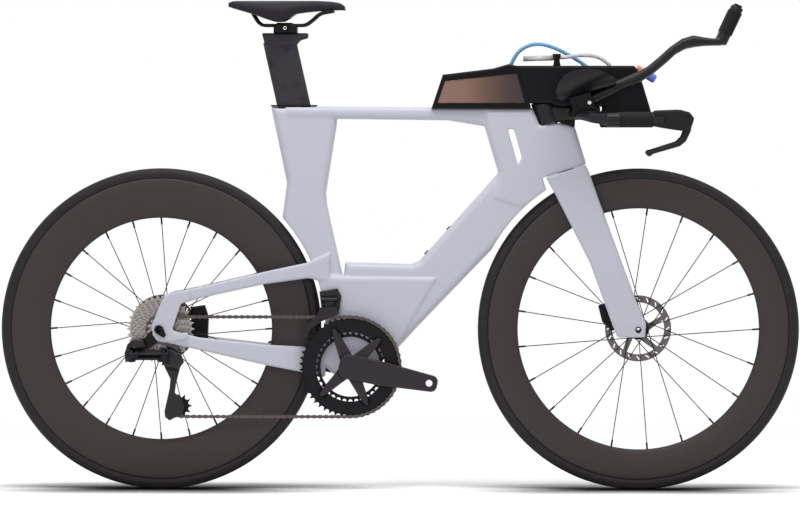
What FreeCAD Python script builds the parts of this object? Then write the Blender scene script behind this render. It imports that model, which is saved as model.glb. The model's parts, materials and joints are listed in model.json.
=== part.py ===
import FreeCAD, Part
import math
import os

import Sketcher
from FreeCAD import Placement, Rotation, Vector

doc = FreeCAD.newDocument("time_trial_bike")
sheet = doc.addObject("Spreadsheet::Sheet", "sizes")

# Sizes, all in mm unless the name ends in angle (degrees), teeth or count

SIZES = {
    # scale of the side view
    "pixel": 2.1135,
    "wheelbase": 1008.4,
    "overrun": 2.0,
    "running_gap": 0.05,
    "turning_gap": 0.5,
    "seam_gap": 0.3,
    # tyres and rims
    "tyre_radius": 339.0,
    "tyre_half": 14.0,
    "tyre_wall": 2.5,
    "rim_edge": 314.5,
    "rim_half": 14.0,
    "rim_wall": 1.8,
    "rim_bed": 5.5,
    "front_rim_depth": 60.0,
    "rear_rim_depth": 80.3,
    # hubs, spokes and rotors
    "axle_radius": 6.0,
    "axle_bore": 4.2,
    "axle_head": 9.0,
    "front_half_space": 50.0,
    "rear_half_space": 71.0,
    "end_cap_radius": 10.0,
    "hub_barrel": 12.5,
    "flange_radius": 21.0,
    "flange_width": 7.0,
    "front_flange_right": 26.0,
    "front_flange_left": 20.0,
    "rear_flange_right": 15.0,
    "rear_flange_left": 33.0,
    "rotor_seat": 17.0,
    "rotor_radius": 70.0,
    "rotor_inner": 55.0,
    "rotor_thick": 1.8,
    "rotor_inset": 15.5,
    "rotor_hub": 24.0,
    "rotor_arm": 9.0,
    "rotor_slot": 2.6,
    "spoke_radius": 0.95,
    "nipple_radius": 2.0,
    "nipple_length": 14.0,
    # frame
    "bb_drop": 79.0,
    "chainstay": 409.5,
    "seat_tube_width": 36.0,
    "top_tube_width": 40.0,
    "head_width": 50.0,
    "down_tube_width": 44.0,
    "bb_block_width": 54.0,
    "seat_tube_round": 15.0,
    "top_tube_round": 11.0,
    "head_round": 14.0,
    "down_tube_round": 15.0,
    "bb_block_round": 12.0,
    "post_depth": 70.0,
    "post_width": 24.0,
    "post_round": 11.5,
    "post_inside": 110.0,
    "post_pocket": 160.0,
    "post_above": 140.0,
    "bb_shell_radius": 25.0,
    "bb_shell_half": 41.0,
    "bb_bore": 20.5,
    "rear_tyre_gap": 9.0,
    "front_tyre_gap": 13.0,
    "dropout_thick": 8.0,
    "dropout_round": 2.5,
    "stay_round": 4.5,
    "stay_thick": 14.0,
    "stay_inner_front": 19.5,
    "stay_inner_rear": 66.0,
    "boss_radius": 5.5,
    "boss_thread": 2.5,
    "boss_height": 2.0,
    "boss_depth": 12.0,
    # steering axis
    "fork_offset": 45.0,
    "crown_height": 365.0,
    "cover_height": 480.0,
    "head_bore": 21.0,
    "steerer_radius": 14.3,
    "bearing_height": 8.0,
    "neck_radius": 26.0,
    "neck_gap": 29.5,
    "crown_swing": 51.0,
    "crown_room": 57.0,
    "stem_neck": 28.5,
    # fork
    "crown_half": 22.0,
    "leg_inner_top": 19.0,
    "leg_outer_top": 36.0,
    "leg_thick_bottom": 13.0,
    "arch_gap": 7.0,
    # cranks and rings
    "crank_length": 170.0,
    "crank_reach": 17.5,
    "crank_root": 26.0,
    "crank_end": 16.5,
    "crank_inner": 59.0,
    "crank_outer": 74.0,
    "crank_round": 3.0,
    "pedal_hole": 7.14,
    "spindle_radius": 12.0,
    "spider_inner": 50.1,
    "spider_outer": 60.0,
    "spider_reach": 88.0,
    "spider_root": 17.0,
    "spider_tip": 6.0,
    "ring_plane": 48.0,
    "small_ring_plane": 41.0,
    "ring_thick": 1.8,
    "ring_body": 4.2,
    "ring_window": 73.0,
    "ring_band": 99.5,
    "small_ring_window": 63.0,
    "ring_bolt_circle": 66.0,
    "ring_bolt": 6.0,
    # chain and cassette
    "chain_pitch": 12.7,
    "roller_radius": 3.85,
    "tooth_seat": 4.2,
    "tooth_height": 2.5,
    "tooth_tip": 0.8,
    "link_gap": 1.05,
    "plate_thick": 0.55,
    "plate_gap": 0.1,
    "plate_half": 4.0,
    "pin_radius": 1.7,
    "pin_gap": 0.06,
    "sprocket_thick": 1.5,
    "sprocket_step": 3.56,
    "sprocket_plane": 64.0,
    "freehub_radius": 17.0,
    "freehub_bore": 8.0,
    "pulley_thick": 1.7,
    "pulley_bolt": 2.5,
    "cage_half": 5.0,
    "cage_thick": 1.8,
    "link_length": 58.0,
    # headset, bottom bracket and seat post pieces
    "steerer_top": 502.0,
    "cover_width": 36.0,
    "cup_radius": 21.5,
    "cup_flange": 2.5,
    "post_head_half": 17.0,
    "post_head_round": 4.0,
    "collar_spare": 7.0,
    "collar_height": 3.0,
    "clamp_half": 28.0,
    "clamp_round": 5.0,
    "rail_radius": 3.5,
    "rail_spread": 22.0,
    "shell_thick": 3.0,
    "saddle_half": 70.0,
    # storage box, drink box and hoses
    "storage_half": 30.0,
    "storage_wall": 2.5,
    "storage_round": 5.0,
    "window_thick": 1.6,
    "drink_half": 32.0,
    "drink_turn": 42.0,
    "drink_round": 6.0,
    "hose_radius": 4.0,
    "hose_bore": 2.8,
    "straw_radius": 5.5,
    # base bar, levers, arm rests and extensions
    "grip_spread": 200.0,
    "grip_radius": 14.5,
    "tape_thick": 1.6,
    "wing_half_chord": 30.0,
    "wing_half_thick": 9.0,
    "hood_half": 14.0,
    "lever_thick": 9.0,
    "lever_gap": 0.5,
    "lever_pin": 2.5,
    "rest_spread": 92.0,
    "riser_half": 17.0,
    "cup_outer": 48.0,
    "cup_wall": 3.0,
    "pad_thick": 8.0,
    "rest_bolt": 4.0,
    "extension_spread": 84.0,
    "extension_end_spread": 62.0,
    "extension_grip": 13.0,
    "extension_sleeve": 1.6,
    "button_radius": 8.5,
    "button_length": 9.0,
    "button_proud": 4.0,
    # more crank, derailleur, caliper and valve sizes
    "cage_length": 107.0,
    "crank_corner": 13.0,
    "crank_back_corner": 18.0,
    "boss_inner": 44.0,
    "boss_round": 20.0,
    "ring_tab": 16.0,
    "pulley_bore_wall": 6.0,
    "knuckle_pin": 6.0,
    "pivot_pin": 2.2,
    "pivot_barrel": 5.0,
    "pivot_half": 6.0,
    "pivot_ear": 6.3,
    "ear_thick": 3.0,
    "arm_half": 3.2,
    "link_spacing": 14.0,
    "hanger_thick": 4.0,
    "hanger_arm": 6.0,
    "knuckle_thick": 11.0,
    "fd_body_width": 10.0,
    "fd_plate": 1.2,
    "fd_half": 5.8,
    "fd_pivot_y": 43.0,
    "fd_barrel": 4.5,
    "fd_pin": 2.2,
    "caliper_width": 28.0,
    "front_caliper_width": 24.0,
    "front_caliper_middle": 37.0,
    "caliper_round": 4.0,
    "rotor_room": 1.2,
    "clip_half": 5.0,
    "collar_radius": 8.0,
    "bite_radius": 9.0,
    "bite_neck": 5.0,
}

for row, (alias, number) in enumerate(SIZES.items(), start=1):
    sheet.set(f"A{row}", alias)
    sheet.set(f"B{row}", str(number))
    sheet.setAlias(f"B{row}", alias)
doc.recompute()


# Lengths that know both their number and their sheet expression

class Length:
    def __init__(self, value, text):
        self.value = value
        self.text = text

    def __float__(self):
        return self.value

    def __neg__(self):
        return Length(-self.value, f"(-1 * {self.text})")

    def __add__(self, other):
        return Length(self.value + float(other), f"({self.text} + {text_of(other)})")

    def __radd__(self, other):
        return Length(float(other) + self.value, f"({text_of(other)} + {self.text})")

    def __sub__(self, other):
        return Length(self.value - float(other), f"({self.text} - {text_of(other)})")

    def __rsub__(self, other):
        return Length(float(other) - self.value, f"({text_of(other)} - {self.text})")

    def __mul__(self, other):
        return Length(self.value * float(other), f"({self.text} * {text_of(other)})")

    def __rmul__(self, other):
        return Length(float(other) * self.value, f"({text_of(other)} * {self.text})")

    def __truediv__(self, other):
        return Length(self.value / float(other), f"({self.text} / {text_of(other)})")


def text_of(number):
    if isinstance(number, Length):
        return number.text
    return f"({number:.6f})"


class Sizes:
    def __getattr__(self, alias):
        return Length(float(sheet.get(alias)), f"sizes.{alias}")


s = Sizes()
zero = 0 * s.pixel

# Picture coordinates to the side plane: the wheels' mid point and the floor in the picture

MIDDLE_PIXEL = 399.55
FLOOR_PIXEL = 489.1


def px(across):
    return (across - MIDDLE_PIXEL) * s.pixel


def pz(down):
    return (FLOOR_PIXEL - down) * s.pixel


def side(pixels):
    return [(px(across), pz(down)) for across, down in pixels]


def vec(x, y, z):
    return Vector(float(x), float(y), float(z))


# Places shared by several pieces

rear_x = -0.5 * s.wheelbase
front_x = 0.5 * s.wheelbase
axle_z = s.tyre_radius
bb_z = axle_z - s.bb_drop
chainstay_run = math.sqrt(float(s.chainstay) ** 2 - float(s.bb_drop) ** 2)
bb_x = rear_x + chainstay_run / float(s.chainstay) * s.chainstay

HEAD_ANGLE = 72.5
STEER_TILT = HEAD_ANGLE - 90
steer_cos = math.cos(math.radians(HEAD_ANGLE))
steer_sin = math.sin(math.radians(HEAD_ANGLE))
steer_x = front_x - steer_sin * s.fork_offset
steer_z = axle_z - steer_cos * s.fork_offset
steer_turn = Rotation(Vector(0, 1, 0), STEER_TILT)


def steer(forward, left, up):
    """A point given across, beside and along the steering axis."""
    x = float(steer_x) + steer_sin * float(forward) - steer_cos * float(up)
    z = float(steer_z) + steer_cos * float(forward) + steer_sin * float(up)
    return Vector(x, float(left), z)


# Building helpers

nodes = {}


def keep(obj, name):
    obj.Label = name
    nodes[name] = obj
    return obj


def bind(obj, prop, value):
    obj.setExpression(prop, value.text)


def put(obj, x=None, y=None, z=None, turn=None):
    if turn is not None:
        obj.Placement = Placement(Vector(0, 0, 0), turn)
    for axis, value in (("x", x), ("y", y), ("z", z)):
        if value is not None:
            bind(obj, f"Placement.Base.{axis}", value)
    return obj


def origin_plane(body, role):
    return [f for f in body.Origin.OriginFeatures if f.Role == role][0]


def new_sketch(body, name, role):
    sketch = body.newObject("Sketcher::SketchObject", name)
    sketch.AttachmentSupport = [(origin_plane(body, role), "")]
    sketch.MapMode = "FlatFace"
    return sketch


def draw_loop(sketch, points):
    """Closed loop of straight lines, every corner bound to the sheet."""
    first = sketch.GeometryCount
    count = len(points)
    spots = [Vector(float(a), float(b), 0) for a, b in points]
    for i in range(count):
        sketch.addGeometry(Part.LineSegment(spots[i], spots[(i + 1) % count]), False)
    rules = []
    for i in range(count):
        rules.append(Sketcher.Constraint("Coincident", first + i, 2, first + (i + 1) % count, 1))
    start = sketch.ConstraintCount + len(rules)
    texts = []
    for i, (a, b) in enumerate(points):
        rules.append(Sketcher.Constraint("DistanceX", -1, 1, first + i, 1, float(a)))
        rules.append(Sketcher.Constraint("DistanceY", -1, 1, first + i, 1, float(b)))
        texts += [text_of(a), text_of(b)]
    sketch.addConstraint(rules)
    for i, text in enumerate(texts):
        sketch.setExpression(f"Constraints[{start + i}]", text)


def fillet(body, base, names, radius, name):
    rounded = body.newObject("PartDesign::Fillet", name)
    rounded.Base = (base, names)
    bind(rounded, "Radius", radius)
    doc.recompute()
    return rounded


def prism(name, outline, width, corners=(), rounding=None, holes=()):
    """Side outline padded evenly to both sides; corners is a list of (radius, corner numbers)."""
    body = doc.addObject("PartDesign::Body", name)
    sketch = new_sketch(body, f"{name}_sketch", "XZ_Plane")
    draw_loop(sketch, outline)
    for hole in holes:
        draw_loop(sketch, hole)
    tip = body.newObject("PartDesign::Pad", f"{name}_pad")
    tip.Profile = sketch
    tip.SideType = "Symmetric"
    bind(tip, "Length", width)
    doc.recompute()
    for number, (radius, chosen) in enumerate(corners):
        spots = [outline[i] for i in chosen]
        edges = [f"Edge{i}" for i, e in enumerate(tip.Shape.Edges, 1) if runs_across_at(e, spots)]
        tip = fillet(body, tip, edges, radius, f"{name}_corner{number}")
    if rounding is not None:
        edges = [f"Edge{i}" for i, e in enumerate(tip.Shape.Edges, 1) if lies_in_side(e)]
        tip = fillet(body, tip, edges, rounding, f"{name}_round")
    return body


NEAR = 1e-4


def runs_across_at(edge, spots):
    box = edge.BoundBox
    if box.XLength > NEAR or box.ZLength > NEAR:
        return False
    return any(abs(box.XMin - float(a)) < NEAR and abs(box.ZMin - float(b)) < NEAR for a, b in spots)


def lies_in_side(edge):
    return edge.BoundBox.YLength < NEAR


def turned(name, outline, holes=()):
    """Outline of (along Y, radius) points turned about the Y axis."""
    body = doc.addObject("PartDesign::Body", name)
    sketch = new_sketch(body, f"{name}_sketch", "YZ_Plane")
    draw_loop(sketch, outline)
    for hole in holes:
        draw_loop(sketch, hole)
    turn = body.newObject("PartDesign::Revolution", f"{name}_turn")
    turn.Profile = sketch
    turn.ReferenceAxis = (sketch, ["H_Axis"])
    turn.Angle = 360
    doc.recompute()
    return body


ALONG_Y = Rotation(Vector(1, 0, 0), -90)
UPRIGHT = Rotation()


def cylinder(name, radius, height, x=None, y=None, z=None, turn=ALONG_Y):
    obj = doc.addObject("Part::Cylinder", name)
    bind(obj, "Radius", radius)
    bind(obj, "Height", height)
    return put(obj, x, y, z, turn)


def cross_cylinder(name, radius, half, x, z):
    """Cylinder lying along Y, even to both sides."""
    return cylinder(name, radius, 2 * half, x, -half, z)


def box(name, length, width, height, x, y, z, turn=UPRIGHT):
    obj = doc.addObject("Part::Box", name)
    bind(obj, "Length", length)
    bind(obj, "Width", width)
    bind(obj, "Height", height)
    return put(obj, x, y, z, turn)


def fused(name, parts):
    obj = doc.addObject("Part::MultiFuse", name)
    obj.Shapes = parts
    doc.recompute()
    return obj


def cut(name, base, tools):
    tool = tools[0] if len(tools) == 1 else fused(f"{name}_tools", tools)
    obj = doc.addObject("Part::Cut", name)
    obj.Base = base
    obj.Tool = tool
    doc.recompute()
    return obj


def feature(name, shape, at=None):
    obj = doc.addObject("Part::Feature", name)
    obj.Shape = shape
    if at is not None:
        obj.Placement = at
    return obj


def rod(start, end, radius):
    run = end - start
    return Part.makeCylinder(float(radius), run.Length, start, run)


def rounded_wire(centre, across, up, half_across, half_up, radius):
    """Rectangle with rounded corners about a centre, in the plane of two unit vectors."""
    ha, hu, r = float(half_across), float(half_up), float(radius)
    slant = r * (1 - math.sqrt(0.5))

    def spot(a, u):
        return centre + across * a + up * u

    edges = []
    for quarter in range(4):
        sign_a = (1, -1, -1, 1)[quarter]
        sign_u = (1, 1, -1, -1)[quarter]
        along_u = quarter in (1, 3)
        first = spot(sign_a * ha, sign_u * (hu - r))
        last = spot(sign_a * (ha - r), sign_u * hu)
        middle = spot(sign_a * (ha - slant), sign_u * (hu - slant))
        if along_u:
            first, last = last, first
        edges.append((first, middle, last))
    made = []
    for i in range(4):
        first, middle, last = edges[i]
        made.append(Part.Arc(first, middle, last).toShape())
        made.append(Part.LineSegment(last, edges[(i + 1) % 4][0]).toShape())
    return Part.Wire(made)


def loft(wires, ruled=False):
    return Part.makeLoft(wires, True, ruled)


def mirrored(shape):
    return shape.mirror(Vector(0, 0, 0), Vector(0, 1, 0))


# Tyres

def tyre(name, x):
    mid_radius = s.tyre_radius - s.tyre_half
    parts = []
    for label, half in (("outer", s.tyre_half), ("inner", s.tyre_half - s.tyre_wall)):
        ring = doc.addObject("Part::Torus", f"{name}_{label}_ring")
        bind(ring, "Radius1", mid_radius)
        bind(ring, "Radius2", half)
        put(ring, x, zero, axle_z, ALONG_Y)
        wall = cross_cylinder(f"{name}_{label}_wall", mid_radius, half, x, axle_z)
        parts.append(fused(f"{name}_{label}", [ring, wall]))
    parts.append(cross_cylinder(f"{name}_opening", s.rim_edge, s.tyre_half + s.overrun, x, axle_z))
    return keep(cut(name, parts[0], parts[1:]), name)


# Rims: deep hollow carbon section, shares of the half width and of the depth from the edge

RIM_SHARES = [(1.0, 0.0), (1.07, 0.12), (1.08, 0.3), (1.0, 0.52), (0.8, 0.74), (0.52, 0.92), (0.24, 1.0)]


def rim_side(half, edge, depth):
    return [(share * half, edge - down * depth) for share, down in RIM_SHARES]


def rim(name, x, depth):
    outer = rim_side(s.rim_half, s.rim_edge, depth)
    bed = s.rim_edge - s.rim_bed
    hook = s.rim_half - s.tyre_wall
    loop = outer + [(-a, r) for a, r in reversed(outer)]
    loop += [(-hook, s.rim_edge), (-hook, bed), (hook, bed), (hook, s.rim_edge)]
    inner = rim_side(s.rim_half - s.rim_wall, bed - s.rim_wall, depth - s.rim_bed - 2 * s.rim_wall)
    hollow = inner + [(-a, r) for a, r in reversed(inner)]
    body = turned(name, loop, [hollow])
    return keep(put(body, x, zero, axle_z), name)


# Hubs: right side is negative Y, the rotor seat is on the left

def hub_outline(steps, bore):
    """Stepped barrel from (end, radius) steps; each step starts where the one before ends."""
    loop = [(steps[0][0], bore)]
    for start, end, radius in steps:
        loop += [(start, radius), (end, radius)]
    loop.append((steps[-1][1], bore))
    return loop


def front_hub():
    cap = s.front_half_space - s.turning_gap
    seat = s.front_half_space - s.rotor_inset
    steps = [
        (-cap, -s.front_flange_right - s.flange_width, s.end_cap_radius),
        (-s.front_flange_right - s.flange_width, -s.front_flange_right, s.flange_radius),
        (-s.front_flange_right, s.front_flange_left, s.hub_barrel),
        (s.front_flange_left, s.front_flange_left + s.flange_width, s.flange_radius),
        (s.front_flange_left + s.flange_width, seat + 2 * s.rotor_thick, s.rotor_seat),
        (seat + 2 * s.rotor_thick, cap, s.end_cap_radius),
    ]
    body = turned("front_hub", hub_outline(steps, s.axle_radius + s.running_gap))
    keep(put(body, front_x, zero, axle_z), "front_hub")


def rear_hub():
    cap = s.rear_half_space - s.turning_gap
    seat = s.rear_half_space - s.rotor_inset
    steps = [
        (-cap, -s.rear_flange_right - s.flange_width, s.freehub_bore - 2 * s.running_gap),
        (-s.rear_flange_right - s.flange_width, -s.rear_flange_right, s.flange_radius),
        (-s.rear_flange_right, s.rear_flange_left, s.hub_barrel),
        (s.rear_flange_left, s.rear_flange_left + s.flange_width, s.flange_radius),
        (s.rear_flange_left + s.flange_width, seat + 2 * s.rotor_thick, s.rotor_seat),
        (seat + 2 * s.rotor_thick, cap, s.end_cap_radius),
    ]
    body = turned("rear_hub", hub_outline(steps, s.axle_radius + s.running_gap))
    keep(put(body, rear_x, zero, axle_z), "rear_hub")


# Spokes: groups of three, two leaning on the close flange side and one straight on the other

SPOKE_LEAN = 58.0


def spoke_point(radius, angle, along):
    turn = math.radians(angle)
    return vec(radius * math.cos(turn), along, radius * math.sin(turn))


def spokes(name, x, groups, rim_inner, leaning_y, straight_y):
    seat = float(s.flange_radius)
    end = float(rim_inner)
    made = []
    for group in range(groups):
        base = 360.0 * group / groups
        third = 120.0 / groups
        for rim_angle, lean, along in (
            (base, SPOKE_LEAN, leaning_y),
            (base + third, 0, straight_y),
            (base + 2 * third, -SPOKE_LEAN, leaning_y),
        ):
            outer = spoke_point(end, rim_angle, 0)
            inner = spoke_point(seat, rim_angle - lean, along)
            run = outer - inner
            run.normalize()
            thick = outer - run * float(s.nipple_length)
            wire = rod(inner + run * float(s.spoke_radius), thick, s.spoke_radius)
            nipple = rod(thick, outer - run * float(s.running_gap), s.nipple_radius)
            made.append(wire.fuse(nipple).removeSplitter())
    shape = Part.makeCompound(made)
    return keep(feature(name, shape, Placement(vec(x, 0, axle_z), Rotation())), name)


# Brake rotors: slotted ring on a five armed carrier

ROTOR_ARMS = 5
ROTOR_SLOTS = 20
ROTOR_SLOT_LEAN = 40
ROTOR_ARM_LEAN = 24


def rotor(name, x, y):
    half = float(s.rotor_thick) / 2
    thick = float(s.rotor_thick)
    low = Vector(0, -half, 0)
    along = Vector(0, 1, 0)
    ring = Part.makeCylinder(float(s.rotor_radius), thick, low, along)
    ring = ring.cut(Part.makeCylinder(float(s.rotor_inner), thick, low, along))
    middle = (float(s.rotor_radius) + float(s.rotor_inner)) / 2
    reach = (float(s.rotor_radius) - float(s.rotor_inner)) * 0.3
    slots = []
    for i in range(ROTOR_SLOTS):
        spot = spoke_point(middle, 360.0 * i / ROTOR_SLOTS, 0)
        lean = spoke_point(reach, 360.0 * i / ROTOR_SLOTS + ROTOR_SLOT_LEAN, 0)
        side_step = along.cross(lean)
        side_step.normalize()
        side_step = side_step * float(s.rotor_slot) / 2
        corners = [spot + lean + side_step, spot + lean - side_step]
        corners += [spot - lean - side_step, spot - lean + side_step]
        face = Part.Face(Part.makePolygon(corners + corners[:1]))
        face.translate(low * 2)
        slots.append(face.extrude(along * thick * 2))
    ring = ring.cut(Part.makeCompound(slots))
    hub = Part.makeCylinder(float(s.rotor_hub), thick, low, along)
    arms = []
    for i in range(ROTOR_ARMS):
        turn = 360.0 * i / ROTOR_ARMS
        start = spoke_point(s.rotor_seat, turn, 0)
        end = spoke_point(s.rotor_inner + s.overrun, turn + ROTOR_ARM_LEAN, 0)
        run = end - start
        step = along.cross(run)
        step.normalize()
        step = step * float(s.rotor_arm) / 2
        wide = step * 1.5
        corners = [start + wide, start - wide, end - step, end + step]
        face = Part.Face(Part.makePolygon(corners + corners[:1]))
        face.translate(low)
        arms.append(face.extrude(along * thick))
    shape = ring.multiFuse([hub] + arms)
    shape = shape.cut(Part.makeCylinder(float(s.rotor_seat), 3 * thick, low * 3, along))
    shape = shape.removeSplitter()
    return keep(feature(name, shape, Placement(vec(x, y, axle_z), Rotation())), name)


# Hollow through axles with a low head on the left

def axle(name, x, half):
    tube = cross_cylinder(f"{name}_tube", s.axle_radius, half, x, axle_z)
    head = cylinder(f"{name}_head", s.axle_head, s.overrun, x, half, axle_z)
    bore = cross_cylinder(f"{name}_bore", s.axle_bore, half + 2 * s.overrun, x, axle_z)
    return keep(cut(name, fused(f"{name}_solid", [tube, head]), [bore]), name)


front_rim_inner = s.rim_edge - s.front_rim_depth
rear_rim_inner = s.rim_edge - s.rear_rim_depth


def wheels():
    tyre("front_tyre", front_x)
    tyre("rear_tyre", rear_x)
    rim("front_rim", front_x, s.front_rim_depth)
    rim("rear_rim", rear_x, s.rear_rim_depth)
    front_hub()
    rear_hub()
    half_flange = 0.5 * s.flange_width
    spokes(
        "front_spokes", front_x, 7, front_rim_inner,
        s.front_flange_left + half_flange, -s.front_flange_right - half_flange,
    )
    spokes(
        "rear_spokes", rear_x, 8, rear_rim_inner,
        -s.rear_flange_right - half_flange, s.rear_flange_left + half_flange,
    )
    rotor("front_rotor", front_x, s.front_half_space - s.rotor_inset)
    rotor("rear_rotor", rear_x, s.rear_half_space - s.rotor_inset)
    axle("front_axle", front_x, s.front_half_space + s.leg_thick_bottom)
    axle("rear_axle", rear_x, s.rear_half_space + s.dropout_thick)


# Frame outlines in picture pixels

SEAT_TUBE_PIXELS = [
    (271, 106.4), (287, 183), (282.5, 217), (282.5, 310), (350, 310),
    (338, 254), (327.2, 204.7), (326.2, 192.9), (337, 123.8), (337, 106.4),
]
TOP_TUBE_PIXELS = [
    (285, 106.4), (533, 107.9), (533, 150), (491, 146), (484.5, 126.5),
    (447.8, 120.5), (337, 119.1), (285, 119.1),
]
HEAD_PIXELS = [
    (484, 107.6), (533, 107.9), (540, 122.9), (553.8, 121), (574.6, 126.7), (588, 170),
    (575, 200), (520, 210), (490, 200), (498, 172), (484.5, 126.5),
]
DOWN_TUBE_PIXELS = [
    (545, 160), (545, 215), (500.8, 240), (415.2, 329.2), (398.1, 348.1), (360, 372),
    (340, 340), (345, 262), (411.9, 263.9), (419.9, 260.1), (497.5, 173.5), (503, 150),
]
BB_BLOCK_PIXELS = [
    (296, 272), (344, 275), (440, 276), (398.1, 348.1), (368, 373), (352, 377), (336, 376),
    (318, 360), (318, 300),
]
SLOT_PIXELS = [(507.5, 129), (514, 129), (521.8, 157), (518, 166)]
LOWER_STAY_PIXELS = [
    (325, 329, 377), (309, 346.5, 373), (266, 344, 364.5), (200, 336.5, 349), (166, 327, 341.5),
]
UPPER_STAY_PIXELS = [
    (330, 253, 283), (309, 262, 278), (264, 271.5, 284), (200, 286.5, 298), (166, 294, 308),
]
STAY_SPREAD_PIXELS = (309, 166)
DROPOUT_PIXELS = [
    (171, 292.5), (164, 299), (153.5, 325), (153.5, 334), (158, 340.5), (166, 341.8),
    (190, 338.2), (190, 331.5), (178, 332), (174.5, 328), (183, 303), (192, 299.5), (192, 288),
]


def stay_sides(x):
    """Inner face of a stay: straight spread from beside the tyre to the dropout."""
    start, end = px(STAY_SPREAD_PIXELS[0]), px(STAY_SPREAD_PIXELS[1])
    share = min(1.0, max(0.0, (float(start) - float(x)) / (float(start) - float(end))))
    return float(s.stay_inner_front) + share * (float(s.stay_inner_rear) - float(s.stay_inner_front))


def stay(table):
    """Right-hand side: lofted bar along X from (across, top, bottom) pixels."""
    wires = []
    for across, top, bottom in table:
        x = px(across)
        inner = stay_sides(x)
        thick = float(s.stay_thick)
        if across == table[0][0]:
            inner = inner - float(s.stay_thick) * 0.5
        if across == table[-1][0]:
            inner = float(s.rear_half_space)
            thick = float(s.dropout_thick)
        high, low = pz(top), pz(bottom)
        centre = Vector(float(x), inner + thick / 2, (float(high) + float(low)) / 2)
        half_up = (float(high) - float(low)) / 2
        radius = min(float(s.stay_round), thick * 0.45)
        wires.append(rounded_wire(centre, Vector(0, 1, 0), Vector(0, 0, 1), thick / 2, half_up, radius))
    return loft(wires, True)


def frame_tubes():
    seat = prism("seat_tube", side(SEAT_TUBE_PIXELS), s.seat_tube_width, rounding=s.seat_tube_round)
    top = prism("top_tube", side(TOP_TUBE_PIXELS), s.top_tube_width, rounding=s.top_tube_round)
    head = prism("head_tube", side(HEAD_PIXELS), s.head_width, rounding=s.head_round)
    down = prism("down_tube", side(DOWN_TUBE_PIXELS), s.down_tube_width, rounding=s.down_tube_round)
    block = prism("bb_block", side(BB_BLOCK_PIXELS), s.bb_block_width, rounding=s.bb_block_round)
    tubes = fused("frame_tubes", [seat, top, head, down, block])
    wide = s.bb_block_width
    rear_arc = cross_cylinder("rear_wheel_arc", s.tyre_radius + s.rear_tyre_gap, wide, rear_x, axle_z)
    front_arc = cross_cylinder("front_wheel_arc", s.tyre_radius + s.front_tyre_gap, wide, front_x, axle_z)
    slot = prism("head_slot", side(SLOT_PIXELS), 2 * s.head_width)
    return cut("frame_main", tubes, [rear_arc, front_arc, slot])


def steering_cylinder(name, radius, low, high):
    """Cylinder about the steering axis between two heights along it."""
    obj = doc.addObject("Part::Cylinder", name)
    bind(obj, "Radius", radius)
    bind(obj, "Height", high - low)
    return put(obj, steer_x - steer_cos * low, zero, steer_z + steer_sin * low, steer_turn)


def frame_stays():
    parts = []
    for name, table in (("chainstay", LOWER_STAY_PIXELS), ("seatstay", UPPER_STAY_PIXELS)):
        shape = stay(table)
        parts.append(feature(f"{name}_left", shape))
        parts.append(feature(f"{name}_right", mirrored(shape)))
    for name, way in (("left", 1), ("right", -1)):
        plate = prism(f"dropout_{name}", side(DROPOUT_PIXELS), s.dropout_thick, rounding=s.dropout_round)
        parts.append(put(plate, y=way * (s.rear_half_space + 0.5 * s.dropout_thick)))
    return parts


# Seat post axis: its middle line where it enters the frame, and its lean

POST_PIXELS = (293.6, 104.4)
POST_LEAN = 12.6
post_turn = Rotation(Vector(0, 1, 0), -POST_LEAN)
post_up = post_turn.multVec(Vector(0, 0, 1))
post_fore = post_turn.multVec(Vector(1, 0, 0))
post_mouth = vec(px(POST_PIXELS[0]), 0, pz(POST_PIXELS[1]))


def post_wire(height, spare):
    centre = post_mouth + post_up * float(height)
    half = float(s.post_depth) / 2 + float(spare)
    wide = float(s.post_width) / 2 + float(spare)
    return rounded_wire(centre, post_fore, Vector(0, 1, 0), half, wide, float(s.post_round) + float(spare))


BOSS_PIXELS = [(448.5, 228.2), (426.5, 252.5)]
BOSS_LEAN = 47.8


def boss_turn():
    return Rotation(Vector(0, 1, 0), -BOSS_LEAN)


def bottle_bosses():
    """Two threaded inserts standing on the upper face of the down tube."""
    rings = []
    holes = []
    for number, (across, down) in enumerate(BOSS_PIXELS):
        x, z = px(across), pz(down)
        lean = math.radians(BOSS_LEAN)
        x = x + math.sin(lean) * s.boss_depth
        z = z - math.cos(lean) * s.boss_depth
        length = s.boss_height + s.boss_depth
        rings.append(cylinder(f"boss_{number}", s.boss_radius, length, x, zero, z, boss_turn()))
        holes.append(cylinder(f"boss_thread_{number}", s.boss_thread, length, x, zero, z, boss_turn()))
    return rings, holes


def frame():
    main = frame_tubes()
    shell = cross_cylinder("bb_shell", s.bb_shell_radius, s.bb_shell_half, bb_x, bb_z)
    whole = fused("frame_whole", [main, shell] + frame_stays())
    ends = [post_wire(-s.post_pocket, s.seam_gap), post_wire(s.post_above, s.seam_gap)]
    pocket = feature("post_pocket_tool", loft(ends))
    crown_top = s.crown_height
    tools = [
        cross_cylinder("bb_bore_tool", s.bb_bore, 2 * s.bb_shell_half, bb_x, bb_z),
        cross_cylinder("rear_axle_tool", s.axle_radius, 2 * s.rear_half_space, rear_x, axle_z),
        steering_cylinder("head_bore_tool", s.head_bore, crown_top - s.overrun, s.cover_height + s.overrun),
        steering_cylinder("crown_swing_tool", s.crown_room, crown_top - 2 * s.crown_swing, crown_top),
        feature("neck_swing_tool", above_cone(-s.turning_gap, float(s.neck_gap) / float(s.crown_swing))),
        pocket,
    ]
    rings, holes = bottle_bosses()
    inserts = fused("bottle_insert_solid", rings)
    keep(cut("bottle_inserts", inserts, holes), "bottle_inserts")
    keep(cut("frame", whole, tools + [inserts]), "frame")


# Fork: two lofted legs under a crown, with the steerer on top; (down, rear edge, front edge) pixels

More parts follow.
